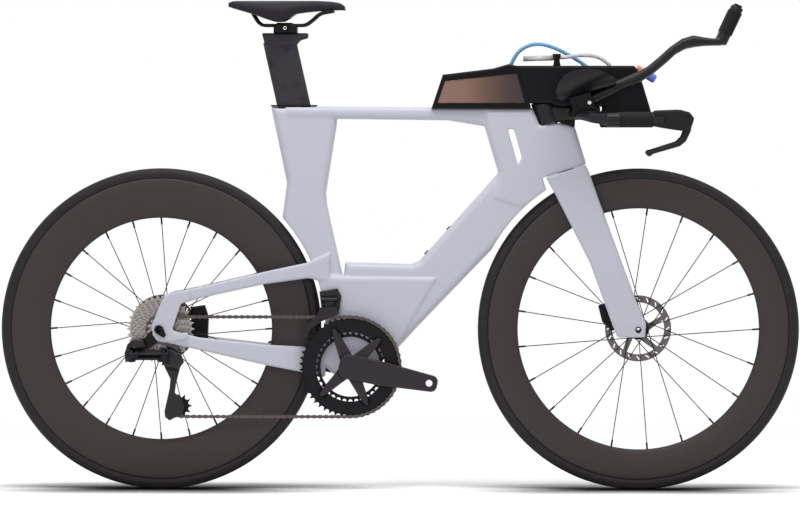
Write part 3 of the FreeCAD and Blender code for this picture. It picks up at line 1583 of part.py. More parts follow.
def cage(knuckle_face):
    plates = []
    for name, way in (("outer", -1), ("inner", 1)):
        plate_body = prism(f"cage_{name}", side(CAGE_PIXELS), s.cage_thick)
        plates.append(put(plate_body, y=chain_y + way * (s.cage_half + 0.5 * s.cage_thick)))
    reach = s.cage_half + s.cage_thick
    pin = cylinder("cage_pin", s.knuckle_pin, s.knuckle_thick + s.turning_gap,
                   guide_x, knuckle_face - s.knuckle_thick, guide_z)
    bolts = [cylinder("guide_bolt", s.pulley_bolt, 2 * reach, guide_x, chain_y - reach, guide_z)]
    swing = math.radians(swing_angle)
    lower_x = guide_x + math.cos(swing) * s.cage_length
    lower_z = guide_z - math.sin(swing) * s.cage_length
    bolts.append(cylinder("tension_bolt", s.pulley_bolt, 2 * reach, lower_x, chain_y - reach, lower_z))
    keep(fused("rd_cage", plates + [pin] + bolts), "rd_cage")
    pulley("guide_pulley", guide_x, guide_z, wheel_phases[2])
    pulley("tension_pulley", lower_x, lower_z, wheel_phases[1])


# Front derailleur: body on the frame's side, cage swinging on a pin along X

FD_BODY_PIXELS = [(320, 291), (338, 288), (342, 296), (340, 310), (332, 313), (322, 308)]
FD_CAGE_PIXELS = [
    (321, 307), (337.5, 305.5), (340, 312.5), (336, 314.5), (323, 320.5), (312, 328), (305, 338),
    (299.5, 341.5), (301, 334), (308, 323.5), (318, 315),
]
FD_PIVOT_DOWN = 299
FD_BRIDGE_DOWN = 308
FD_BARREL_PIXELS = (323, 337)
ALONG_X = Rotation(Vector(0, 1, 0), 90)


def front_derailleur():
    start, end = px(FD_BARREL_PIXELS[0]), px(FD_BARREL_PIXELS[1])
    pivot_z = pz(FD_PIVOT_DOWN)
    half_block = 0.5 * s.bb_block_width
    body = prism("fd_block", side(FD_BODY_PIXELS), s.fd_body_width, rounding=s.dropout_round)
    put(body, y=-half_block - 0.5 * s.fd_body_width)
    wide = s.fd_barrel + s.turning_gap
    length = s.fd_pivot_y - half_block
    eyes = []
    y = -s.fd_pivot_y
    for name, x in (("rear", start - s.overrun), ("front", end)):
        low = pivot_z - s.fd_barrel
        eyes.append(box(f"fd_eye_{name}", s.overrun, length, 2 * s.fd_barrel, x, y, low))
        eyes.append(cylinder(f"fd_eye_end_{name}", s.fd_barrel, s.overrun, x, y, pivot_z, ALONG_X))
    pin = cylinder("fd_pin", s.fd_pin, end - start, start, y, pivot_z, ALONG_X)
    room = cylinder("fd_room", wide, end - start, start, y, pivot_z, ALONG_X)
    solid = cut("fd_solid", fused("fd_all", [body] + eyes), [room])
    keep(fused("front_derailleur", [solid, pin]), "front_derailleur")
    gap = s.seam_gap
    barrel = cylinder("fd_barrel_rod", s.fd_barrel, end - start - 2 * gap, start + gap, y, pivot_z, ALONG_X)
    bore = cylinder("fd_barrel_bore", s.fd_pin + s.running_gap, end - start, start, y, pivot_z, ALONG_X)
    low, high = pz(FD_BRIDGE_DOWN), pivot_z
    plates = []
    for name, way in (("outer", -1), ("inner", 1)):
        plate_body = prism(f"fd_cage_{name}", side(FD_CAGE_PIXELS), s.fd_plate)
        plates.append(put(plate_body, y=-s.ring_plane + way * (s.fd_half + 0.5 * s.fd_plate)))
    reach = s.fd_half + s.fd_plate
    length = 0.6 * (end - start)
    arm_x = start + 0.2 * (end - start)
    arm = box("fd_arm", length, 2 * s.overrun, high - low, arm_x, y - s.overrun, low)
    bridge_y = -s.ring_plane - reach
    bridge = box("fd_bridge", length, 2 * reach, s.overrun, arm_x, bridge_y, low - 0.5 * s.overrun)
    keep(cut("fd_cage", fused("fd_cage_solid", [barrel, arm, bridge] + plates), [bore]), "fd_cage")


# Brake calipers: blocks slotted for the rotor, seated on the stay and on the fork leg

REAR_CALIPER_PIXELS = [(189, 308), (203, 306), (207, 318), (206, 340), (190, 340)]
FRONT_CALIPER_PIXELS = [(598, 306), (606, 303), (618, 312), (620, 330), (611, 331), (602, 322)]


def caliper(name, outline, width, middle, rotor_y, x, seat):
    block = prism(f"{name}_block", side(outline), width, rounding=s.caliper_round)
    put(block, y=middle)
    half = 0.5 * s.rotor_thick + s.rotor_room
    slot = cylinder(f"{name}_slot", s.rotor_radius + 2 * s.rotor_room, 2 * half, x, rotor_y - half, axle_z)
    keep(cut(name, block, [slot, nodes[seat]]), name)


def calipers():
    rear_y = s.rear_half_space - s.rotor_inset
    caliper("rear_caliper", REAR_CALIPER_PIXELS, s.caliper_width, rear_y, rear_y, rear_x, "frame")
    caliper(
        "front_caliper", FRONT_CALIPER_PIXELS, s.front_caliper_width, s.front_caliper_middle,
        s.front_half_space - s.rotor_inset, front_x, "fork",
    )


# Rear storage box on the top tube, with a smoked window on each side

STORAGE_PIXELS = [
    (431.7, 108.5), (443.1, 74.6), (451.6, 73.7), (493.7, 68.5), (508.4, 64.2), (521, 66.5), (535, 108.5),
]
WINDOW_PIXELS = [(437.9, 103), (445.4, 81.2), (516.9, 73.7), (524.9, 103)]
INNER_SHARE = 0.93


def shrunk(pixels, share):
    mid_across = sum(a for a, d in pixels) / len(pixels)
    mid_down = sum(d for a, d in pixels) / len(pixels)
    return [(mid_across + share * (a - mid_across), mid_down + share * (d - mid_down)) for a, d in pixels]


def storage_box():
    outer = prism("storage_outer", side(STORAGE_PIXELS), 2 * s.storage_half, rounding=s.storage_round)
    low, high = s.cover_height - s.crown_swing, s.cover_height + 4 * s.crown_swing
    room = s.drink_turn + 2 * s.seam_gap
    swing = steering_cylinder("storage_swing", room, low, high)
    wall = steering_cylinder("storage_front_wall", room + s.storage_wall, low, high)
    inner = side(shrunk(STORAGE_PIXELS, INNER_SHARE))
    block = prism("storage_hollow", inner, 2 * (s.storage_half - s.storage_wall))
    tools = [cut("storage_room", block, [wall]), swing, nodes["frame"]]
    panes = []
    for name, way in (("left", 1), ("right", -1)):
        opening = prism(f"window_opening_{name}", side(WINDOW_PIXELS), 2.4 * s.storage_wall)
        tools.append(put(opening, y=way * s.storage_half))
        pane = prism(f"window_{name}", side(WINDOW_PIXELS), s.window_thick)
        panes.append(put(pane, y=way * (s.storage_half - s.window_thick)))
    keep(cut("storage_box", outer, tools), "storage_box")
    keep(fused("storage_windows", panes), "storage_windows")


# Drink box on the steering: round about the steering axis at its back, so that it turns in the storage box

DRINK_PIXELS = [
    (506, 65.8), (634, 65.8), (638.8, 72.3), (650.2, 109.8), (653, 123), (652, 127.5), (600, 127.5),
    (598.6, 122.4), (602, 106.5), (556, 106.5), (552, 103.5), (514, 103.5),
]


def drink_box():
    full = prism("drink_full", side(DRINK_PIXELS), 2 * s.drink_half, rounding=s.drink_round)
    low, high = s.cover_height, s.cover_height + 4 * s.crown_swing
    post = steering_cylinder("drink_turn_post", s.drink_turn, low, high)
    back = doc.addObject("Part::Common", "drink_back")
    back.Base = full
    back.Tool = post
    reach = 4 * s.crown_swing
    start = -reach
    behind = box(
        "drink_behind", reach, 2 * reach, 2 * reach, steer_x + steer_sin * start - steer_cos * low, -reach,
        steer_z + steer_cos * start + steer_sin * low, steer_turn,
    )
    front = cut("drink_front", full, [behind])
    keep(fused("drink_box", [front, back]), "drink_box")


# Hoses and the drinking straw; corner points are (across, down) pixels

HOSE_PIXELS = [
    (510.5, 65.5), (515, 54.5), (525, 46.5), (538, 43.4), (552, 46.8), (566, 53.4), (579, 61.2), (587, 67),
]
STRAW_END_PIXELS = [(523, 59), (556, 58)]
STRAW_PIXELS = [(552, 58.1), (566, 57.6), (580, 55.2), (594, 55.8), (604, 60), (610, 65.8)]
CLIP_PIXELS = [(553, 65.8), (554, 60), (552.3, 54), (561, 54), (559.5, 60), (560.5, 65.8)]
HOSE_SIDE_SHARE = 3.0


def hose_points(pixels, y):
    return [vec(px(a), y, pz(d)) for a, d in pixels]


def hoses():
    hose_y = HOSE_SIDE_SHARE * s.hose_radius
    straw_y = -HOSE_SIDE_SHARE * s.hose_radius
    hose = tube("hose", hose_points(HOSE_PIXELS, hose_y), s.hose_radius, s.hose_bore)
    doc.recompute()
    for holder in ("storage_box", "drink_box"):
        hose = hose.cut(nodes[holder].Shape)
    keep(feature("hose", max(hose.Solids, key=solid_volume)), "hose")
    thin = tube("straw", hose_points(STRAW_PIXELS, straw_y), s.hose_radius, s.hose_bore)
    start, end = hose_points(STRAW_END_PIXELS, straw_y)
    thick = rod(start, end, s.straw_radius).cut(rod(start, end, s.hose_radius))
    thin = max(thin.cut(nodes["drink_box"].Shape).Solids, key=solid_volume)
    keep(feature("straw", Part.makeCompound([thin, thick])), "straw")
    clip = prism("clip_block", side(CLIP_PIXELS), 2 * s.straw_radius + s.clip_half)
    put(clip, y=straw_y)
    doc.recompute()
    seat = tube("straw_seat", hose_points(STRAW_PIXELS, straw_y), s.hose_radius)
    keep(feature("straw_clip", clip.Shape.cut(rod(start, end, s.straw_radius)).cut(seat)), "straw_clip")


# Bite valve on the nose of the drink box

VALVE_PIXELS = [(636, 68.5), (643.5, 73), (647, 75.2), (655, 79.8)]


def bite_valve():
    spots = hose_points(VALVE_PIXELS, zero)
    doc.recompute()
    holder = nodes["drink_box"].Shape
    ring = rod(spots[0], spots[1], s.collar_radius).cut(holder)
    collar = max(ring.Solids, key=solid_volume)
    neck = rod(spots[1], spots[2], s.bite_neck)
    mouth = rod(spots[2], spots[3], s.bite_radius)
    rounded = mouth.makeFillet(0.4 * float(s.bite_radius), mouth.Edges)
    mouthpiece = neck.fuse(rounded).cut(holder).removeSplitter()
    keep(feature("bite_valve", Part.makeCompound([collar, mouthpiece])), "bite_valve")


# Base bar with stem, grip tape, hoods and levers; wing stations share the half chord and half thickness

STEM_PIXELS = [(541, 106.5), (600, 106.5), (600, 113), (592, 121.5), (560, 122), (545, 127)]
WING_PIXELS = [(582, 113.3), (583, 113.7), (590, 115.3), (601, 117.6), (617, 119.3)]
WING_SPREAD_SHARES = [0.0, 0.3, 0.6, 0.82, 0.97]
WING_CHORD_SHARES = [1.0, 0.97, 0.92, 0.88, 0.8]
WING_THICK_SHARES = [1.0, 1.0, 1.05, 1.25, 1.5]
GRIP_PIXELS = (606, 664)
TAPE_PIXELS = (619, 652)
GRIP_DOWN = 119.4
HOOD_PIXELS = [
    (652.2, 113), (655, 110.5), (679, 109.6), (688, 112), (692.5, 118), (690.5, 125), (684, 131), (676, 130),
    (660, 127.5), (652.2, 126),
]
LEVER_SLOT_PIXELS = [(677, 112), (697, 108), (697, 138), (674, 138)]
LEVER_PIXELS = [
    (683.5, 113.5), (688.5, 113.5), (691.3, 119), (689, 131), (684.5, 140.5), (678.5, 145.5), (652, 153.2),
    (648.5, 156), (645, 154), (646.5, 151), (651, 149.8), (676, 141.8), (681, 137), (684, 129), (682.5, 120),
]
LEVER_PIVOT_PIXELS = (686.3, 117)


def below_cone():
    """Everything the turning handlebar has to stay clear of above the head."""
    sketch_points = [(0, 0), (CONE_REACH, -CONE_DROP), (CONE_REACH, -2 * CONE_REACH), (0, -2 * CONE_REACH)]
    corners = [steer(a * s.crown_swing, 0, s.cover_height + b * s.crown_swing) for a, b in sketch_points]
    face = Part.Face(Part.makePolygon(corners + corners[:1]))
    return face.revolve(steer(0, 0, 0), steer(0, 0, s.crown_swing) - steer(0, 0, 0), 360)


CONE_REACH = 1.45
CONE_DROP = 0.5


def above_cone(lift, reach):
    """Room kept above the head for the turning handlebar, out to a share of the crown swing."""
    drop = CONE_DROP * reach / CONE_REACH
    sketch_points = [(0, 0), (reach, -drop), (reach, 2 * CONE_REACH), (0, 2 * CONE_REACH)]
    base = s.cover_height + lift
    corners = [steer(a * s.crown_swing, 0, base + b * s.crown_swing) for a, b in sketch_points]
    face = Part.Face(Part.makePolygon(corners + corners[:1]))
    return face.revolve(steer(0, 0, 0), steer(0, 0, s.crown_swing) - steer(0, 0, 0), 360)


def wing_half():
    wires = []
    rows = zip(WING_PIXELS, WING_SPREAD_SHARES, WING_CHORD_SHARES, WING_THICK_SHARES)
    for (across, down), spread, chord, thick in rows:
        centre = vec(px(across), spread * s.grip_spread, pz(down))
        half_chord = float(chord * s.wing_half_chord)
        half_thick = float(thick * s.wing_half_thick)
        radius = half_thick * 0.95
        wires.append(rounded_wire(centre, Vector(1, 0, 0), Vector(0, 0, 1), half_chord, half_thick, radius))
    return loft(wires, True)


def base_bar():
    stem = prism("stem_block", side(STEM_PIXELS), 2 * s.neck_radius, rounding=s.stay_round)
    wing = wing_half()
    neck = steering_cylinder("stem_neck", s.stem_neck, s.cover_height - s.crown_swing,
                             s.cover_height + s.crown_swing)
    parts = [stem, neck, feature("wing_left", wing), feature("wing_right", mirrored(wing))]
    start, end = px(GRIP_PIXELS[0]), px(GRIP_PIXELS[1])
    for name, way in (("left", 1), ("right", -1)):
        y = way * s.grip_spread
        parts.append(cylinder(f"grip_{name}", s.grip_radius, end - start, start, y, pz(GRIP_DOWN), ALONG_X))
    room = feature("head_room", below_cone())
    shaft = steering_cylinder("stem_shaft_tool", s.steerer_radius, s.crown_height, s.steerer_top + s.overrun)
    keep(cut("base_bar", fused("base_bar_solid", parts), [room, shaft, nodes["drink_box"]]), "base_bar")
    sleeves = []
    start, end = px(TAPE_PIXELS[0]), px(TAPE_PIXELS[1])
    for name, way in (("left", 1), ("right", -1)):
        y = way * s.grip_spread
        radius = s.grip_radius + s.tape_thick
        sleeves.append(cylinder(f"tape_{name}", radius, end - start, start, y, pz(GRIP_DOWN), ALONG_X))
    keep(cut("grip_tape", fused("grip_tape_solid", sleeves), [nodes["base_bar"]]), "grip_tape")


def levers():
    hoods, tools = [], []
    x, z = px(LEVER_PIVOT_PIXELS[0]), pz(LEVER_PIVOT_PIXELS[1])
    pin_half = s.hood_half
    for name, way in (("left", 1), ("right", -1)):
        y = way * s.grip_spread
        hood = prism(f"hood_{name}", side(HOOD_PIXELS), 2 * s.hood_half, rounding=s.tape_thick * 3)
        hoods.append(put(hood, y=y))
        slot = prism(f"lever_slot_{name}", side(LEVER_SLOT_PIXELS), s.lever_thick + 2 * s.lever_gap)
        tools.append(put(slot, y=y))
        bore = s.lever_pin + s.running_gap
        tools.append(cylinder(f"lever_hole_{name}", bore, 2 * pin_half, x, y - pin_half, z))
        blade = prism(f"lever_blade_{name}", side(LEVER_PIXELS), s.lever_thick, rounding=s.overrun)
        put(blade, y=y)
        pin = cylinder(f"lever_pin_{name}", s.lever_pin, 1.8 * pin_half, x, y - 0.9 * pin_half, z)
        keep(fused(f"brake_lever_{name}", [blade, pin]), f"brake_lever_{name}")
    keep(cut("lever_hoods", fused("lever_hoods_solid", hoods), tools + [nodes["base_bar"]]), "lever_hoods")


# Arm rests: risers on the wing, cupped shells and pads; then the extensions with grips and buttons

RISER_PIXELS = [(572.5, 117), (572.5, 108), (569, 97.5), (590, 91.5), (594, 104), (597, 108), (597, 117)]
CUP_PIXELS = [
    (557.5, 98.5), (556.3, 92), (558.5, 83.5), (564, 75.5), (573, 71), (586, 68.8), (598, 69.8), (609, 74.5),
    (617.3, 80), (614, 86), (566, 102),
]
PAD_SHARE = 0.94
REST_TILT = 16.0
REST_FLOOR_PIXELS = (579.5, 95.5)
EXTENSION_PIXELS = [
    (578, 104), (592, 98.5), (607, 91.5), (620, 84.8), (638, 77.5), (650, 70.2), (662, 60.2), (672, 51),
    (683, 44.2), (693, 41.6), (703, 42), (712, 42.4), (721, 42),
]
EXTENSION_WIDE_SHARES = [1.0, 1.0, 1.05, 1.08, 1.1, 1.15, 1.25, 1.35, 1.5, 1.5, 1.35, 1.2, 1.0]
EXTENSION_THICK_SHARES = [0.72, 0.78, 0.82, 0.8, 0.84, 0.76, 0.76, 0.76, 0.88, 0.95, 0.68, 0.56, 0.6]
HORN_PIXELS = [(719.5, 43.5), (736.6, 7.3)]
SLEEVE_PIXELS = [(724, 34), (734.4, 12)]
BOLT_PIXELS = [(575, 106), (589.4, 102.7)]


def rest_axis():
    lean = math.radians(REST_TILT)
    forward = Vector(math.cos(lean), 0, math.sin(lean))
    up = Vector(-math.sin(lean), 0, math.cos(lean))
    floor_point = vec(px(REST_FLOOR_PIXELS[0]), 0, pz(REST_FLOOR_PIXELS[1]))
    return floor_point + up * float(s.cup_outer), forward


def trough(outer, inner, reach):
    centre, forward = rest_axis()
    start = centre - forward * float(reach)
    whole = Part.makeCylinder(float(outer), 2 * float(reach), start, forward)
    return whole.cut(Part.makeCylinder(float(inner), 2 * float(reach), start, forward))


def extension_bar():
    """Right hand centred bar at Y zero side plane, moved outwards by its spread."""
    wires = []
    count = len(EXTENSION_PIXELS)
    for i, (across, down) in enumerate(EXTENSION_PIXELS):
        share = i / (count - 1)
        y = float(s.extension_spread) + share * (float(s.extension_end_spread) - float(s.extension_spread))
        before = EXTENSION_PIXELS[max(0, i - 1)]
        after = EXTENSION_PIXELS[min(count - 1, i + 1)]
        along = vec(px(after[0]) - px(before[0]), 0, pz(after[1]) - pz(before[1]))
        along.normalize()
        up = Vector(-along.z, 0, along.x)
        wide = EXTENSION_WIDE_SHARES[i] * float(s.extension_grip)
        thick = EXTENSION_THICK_SHARES[i] * float(s.extension_grip)
        centre = vec(px(across), y, pz(down))
        wires.append(rounded_wire(centre, Vector(0, 1, 0), up, wide, thick, thick * 0.95))
    return loft(wires, True)


def horn_points(pixels):
    return [vec(px(a), s.extension_end_spread, pz(d)) for a, d in pixels]


def arm_rests():
    outline = prism("cup_outline", side(CUP_PIXELS), 4 * s.cup_outer)
    pad_outline = prism("pad_outline", side(shrunk(CUP_PIXELS, PAD_SHARE)), 4 * s.cup_outer)
    riser = prism("riser_block", side(RISER_PIXELS), 2 * s.riser_half, rounding=s.overrun)
    doc.recompute()
    reach = 3 * s.cup_outer
    cup = trough(s.cup_outer, s.cup_outer - s.cup_wall, reach).common(outline.Shape)
    inner = s.cup_outer - s.cup_wall
    pad = trough(inner, inner - s.pad_thick, reach).common(pad_outline.Shape)
    centre, forward = rest_axis()
    cup_start = centre - forward * float(reach)
    solid_cup = Part.makeCylinder(float(s.cup_outer), 2 * float(reach), cup_start, forward)
    bar = extension_bar()
    start, end = horn_points(HORN_PIXELS)
    horn = rod(start, end, s.extension_grip)
    run = end - start
    run.normalize()
    socket = rod(end - run * float(s.button_length), end, s.button_radius + s.seam_gap)
    bar = bar.fuse(horn).cut(socket).removeSplitter()
    low, high = horn_points(SLEEVE_PIXELS)
    sleeve = rod(low, high, s.extension_grip + s.extension_sleeve).cut(bar)
    button_foot = end - run * float(s.button_length - s.button_proud)
    button = rod(button_foot, end + run * float(s.button_proud), s.button_radius)
    base_shape = nodes["base_bar"].Shape
    step = vec(0, s.rest_spread, 0)
    cup.translate(step)
    pad.translate(step)
    solid_cup.translate(step)
    post = riser.Shape.copy()
    post.translate(step)
    post = post.cut(solid_cup).cut(bar).cut(base_shape)
    bar = bar.cut(cup).cut(pad)
    bolts = []
    for across, down in BOLT_PIXELS:
        spot = vec(px(across), s.rest_spread + s.riser_half, pz(down))
        bolts.append(Part.makeCylinder(float(s.rest_bolt), float(s.overrun), spot, Vector(0, 1, 0)))
    pairs = {
        "armrest_risers": post.Solids + bolts, "armrest_cups": cup.Solids, "arm_pads": pad.Solids,
        "extensions": [max(bar.Solids, key=solid_volume)], "extension_grips": sleeve.Solids,
    }
    for name, solids in pairs.items():
        both = solids + [mirrored(solid) for solid in solids]
        keep(feature(name, Part.makeCompound(both)), name)
    keep(feature("shift_button_left", button), "shift_button_left")
    keep(feature("shift_button_right", mirrored(button)), "shift_button_right")


def write_nodes():
    doc.recompute()
    os.makedirs("parts", exist_ok=True)
    for obj in doc.Objects:
        if "Invalid" in obj.State or "Error" in obj.State:
            raise ValueError(f"{obj.Label} did not build: {obj.State}")
        if obj.isDerivedFrom("Part::Feature") and "Sketch" not in obj.TypeId and obj.Shape.isNull():
            raise ValueError(f"{obj.Label} has no shape")
    for name, obj in nodes.items():
        if not obj.Shape.isValid():
            raise ValueError(f"{name} is not a valid shape")
        print(name, len(obj.Shape.Solids), round(obj.Shape.Volume))
        obj.Shape.exportStep(f"parts/{name}.step")


wheels()
frame()
fork()
headset()
bottom_bracket()
seat_post()
saddle_clamp()
saddle()
cranks()
chain()
chainrings()
cassette()
rear_derailleur()
front_derailleur()
calipers()
storage_box()
drink_box()
hoses()
bite_valve()
base_bar()
levers()
arm_rests()
write_nodes()
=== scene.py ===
import json
import math

import bmesh
import bpy
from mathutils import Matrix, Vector


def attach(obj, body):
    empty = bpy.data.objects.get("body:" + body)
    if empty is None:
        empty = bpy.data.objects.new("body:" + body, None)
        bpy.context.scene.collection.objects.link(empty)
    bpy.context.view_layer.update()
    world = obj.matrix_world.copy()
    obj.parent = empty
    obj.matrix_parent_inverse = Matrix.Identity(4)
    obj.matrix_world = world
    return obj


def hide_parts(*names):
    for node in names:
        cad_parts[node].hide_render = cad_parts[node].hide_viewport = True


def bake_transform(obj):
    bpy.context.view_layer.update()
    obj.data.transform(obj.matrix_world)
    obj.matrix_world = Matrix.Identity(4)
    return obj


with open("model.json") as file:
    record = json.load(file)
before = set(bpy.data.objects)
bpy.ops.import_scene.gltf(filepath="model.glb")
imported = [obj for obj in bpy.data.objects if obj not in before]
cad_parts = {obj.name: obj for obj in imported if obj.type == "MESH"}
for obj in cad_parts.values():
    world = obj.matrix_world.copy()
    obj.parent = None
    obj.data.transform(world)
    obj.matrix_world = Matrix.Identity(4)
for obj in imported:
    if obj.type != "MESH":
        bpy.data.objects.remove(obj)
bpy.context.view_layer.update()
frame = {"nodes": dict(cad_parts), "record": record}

nodes = frame["nodes"]
body_of_node = {n: body for body, names in frame["record"]["behaviour"]["bodies"].items() for n in names}

# Scale of the side view, the same as the model's: metres per picture pixel

PIXEL = 0.0021135
MIDDLE_PIXEL = 399.55
FLOOR_PIXEL = 489.1
IMAGE_WIDTH = 800
IMAGE_HEIGHT = 507


def px(across):
    return (across - MIDDLE_PIXEL) * PIXEL


def pz(down):
    return (FLOOR_PIXEL - down) * PIXEL


# Main sizes in metres

AXLE_X = 0.5042
AXLE_Z = 0.339
TYRE_RADIUS = 0.339
TYRE_HALF = 0.014
RIM_EDGE = 0.3145
RIM_HALF = 0.014
FRONT_RIM_DEPTH = 0.060
REAR_RIM_DEPTH = 0.0803


# Camera: long lens, nearly square on to the side

CAMERA_PLACE = Vector((0.42, -13.4, 0.82))
SENSOR_WIDTH = 36.0
CLIP_END = 100


def make_camera():
    data = bpy.data.cameras.new("camera")
    camera = bpy.data.objects.new("camera", data)
    bpy.context.scene.collection.objects.link(camera)
    target = Vector((px(IMAGE_WIDTH / 2), 0, pz(IMAGE_HEIGHT / 2)))
    sight = target - CAMERA_PLACE
    camera.location = CAMERA_PLACE
    camera.rotation_euler = sight.to_track_quat("-Z", "Y").to_euler()
    data.sensor_width = SENSOR_WIDTH
    data.lens = SENSOR_WIDTH * sight.length / (IMAGE_WIDTH * PIXEL)
    data.clip_end = CLIP_END
    bpy.context.scene.camera = camera


# Colours are written as screen values and turned into linear light

def srgb(red, green, blue):
    def line(value):
        share = value / 255
        if share <= 0.04045:
            return share / 12.92
        return ((share + 0.055) / 1.055) ** 2.4

    return (line(red), line(green), line(blue), 1.0)


def shade(colour, share):
    return tuple(min(1.0, c * share) for c in colour[:3]) + (1.0,)


# Material helpers

NOISE_ROUGHNESS = 0.55
GRAIN_DEPTH = 0.0002


class Nodes:
    """Node tree of one material, with short calls for the nodes used here."""

    def __init__(self, name):
        self.material = bpy.data.materials.new(name)
        self.material.use_nodes = True
        self.tree = self.material.node_tree
        self.shader = self.tree.nodes["Principled BSDF"]

    def add(self, kind, **settings):
        node = self.tree.nodes.new(kind)
        for key, value in settings.items():
            setattr(node, key, value)
        return node

    def link(self, out, into):
        self.tree.links.new(out, into)

    def place(self, stretch=(1, 1, 1)):
        spot = self.add("ShaderNodeTexCoord")
        mapping = self.add("ShaderNodeMapping")
        mapping.inputs["Scale"].default_value = stretch
        self.link(spot.outputs["Object"], mapping.inputs["Vector"])
        return mapping.outputs["Vector"]

    def uv(self):
        return self.add("ShaderNodeTexCoord").outputs["UV"]

    def noise(self, vector, scale, detail=4.0):
        node = self.add("ShaderNodeTexNoise")
        node.inputs["Scale"].default_value = scale
        node.inputs["Detail"].default_value = detail
        node.inputs["Roughness"].default_value = NOISE_ROUGHNESS
        self.link(vector, node.inputs["Vector"])
        return node.outputs["Fac"]

    def cells(self, vector, scale):
        node = self.add("ShaderNodeTexVoronoi")
        node.inputs["Scale"].default_value = scale
        self.link(vector, node.inputs["Vector"])
        return node.outputs["Distance"]

    def ramp(self, value, stops):
        node = self.add("ShaderNodeValToRGB")
        ramp = node.color_ramp
        while len(ramp.elements) < len(stops):
            ramp.elements.new(0.5)
        for element, (position, colour) in zip(ramp.elements, stops):
            element.position = position
            element.color = colour
        self.link(value, node.inputs["Fac"])
        return node.outputs["Color"]

    def spread(self, value, low, high):
        node = self.add("ShaderNodeMapRange")
        node.inputs["To Min"].default_value = low
        node.inputs["To Max"].default_value = high
        self.link(value, node.inputs["Value"])
        return node.outputs["Result"]

    def math(self, operation, first, second):
        node = self.add("ShaderNodeMath", operation=operation)
        for socket, value in zip(node.inputs, (first, second)):
            if isinstance(value, (int, float)):
                socket.default_value = value
            else:
                self.link(value, socket)
        return node.outputs["Value"]

    def bump(self, height, strength, depth):
        node = self.add("ShaderNodeBump")
        node.inputs["Strength"].default_value = strength
        node.inputs["Distance"].default_value = depth
        self.link(height, node.inputs["Height"])
        self.link(node.outputs["Normal"], self.shader.inputs["Normal"])

    def colour(self, socket):
        self.link(socket, self.shader.inputs["Base Color"])

    def rough(self, socket):
        self.link(socket, self.shader.inputs["Roughness"])

    def set(self, **values):
        for key, value in values.items():
            self.shader.inputs[key.replace("_", " ")].default_value = value


def surface(name, colour, rough, grain, mottle=0.06, mottle_scale=14.0, grain_scale=900.0, **values):
    """Material with soft colour mottling, uneven roughness and a fine grain."""
    m = Nodes(name)
    spot = m.place()
    cloud = m.noise(spot, mottle_scale)
    m.colour(m.ramp(cloud, [(0.3, shade(colour, 1 - mottle)), (0.7, shade(colour, 1 + mottle))]))
    fine = m.noise(spot, grain_scale, detail=2.0)
    m.rough(m.spread(m.noise(spot, mottle_scale * 3), low=0.9 * rough, high=1.1 * rough))
    m.bump(fine, strength=grain, depth=GRAIN_DEPTH)
    m.set(**values)
    return m.material


LILAC = srgb(202, 202, 216)
FLAKE_SCALE = 2600


def paint_material():
    """Pearl lilac-grey lacquer: faint flakes under a clear coat."""
    m = Nodes("paint_lilac")
    spot = m.place()
    flakes = m.cells(spot, FLAKE_SCALE)
    m.colour(m.ramp(flakes, [(0.0, shade(LILAC, 1.06)), (0.6, LILAC), (1.0, shade(LILAC, 0.95))]))
    m.rough(m.spread(m.noise(spot, scale=30), low=0.36, high=0.44))
    m.bump(m.noise(spot, scale=420, detail=2.0), strength=0.02, depth=GRAIN_DEPTH)
    m.set(Coat_Weight=0.3, Coat_Roughness=0.15, Specular_IOR_Level=0.3)
    return m.material


FIBRE_STRETCH = (14, 420, 1)


def rim_material():
    """Matte carbon: fibres run round the rim, with a slight warm cast."""
    m = Nodes("rim_carbon")
    stretch = m.add("ShaderNodeMapping")
    stretch.inputs["Scale"].default_value = FIBRE_STRETCH
    m.link(m.uv(), stretch.inputs["Vector"])
    fibre = m.noise(stretch.outputs["Vector"], scale=3.0, detail=6.0)
    dark, light = srgb(46, 38, 39), srgb(63, 53, 54)
    m.colour(m.ramp(fibre, [(0.3, dark), (0.7, light)]))
    m.rough(m.spread(fibre, low=0.42, high=0.52))
    m.bump(fibre, strength=0.05, depth=GRAIN_DEPTH)
    m.set(Specular_IOR_Level=0.3)
    return m.material


TREAD_REPEATS = 150
TREAD_SLANT = 9.0
CUT_SHARE = 0.1
SHOULDER_FROM = 0.1
SHOULDER_TO = 0.2
GROUP_CUTS = 4
GROUP_SHARE = 0.3
TREAD_DEPTH = 0.0006


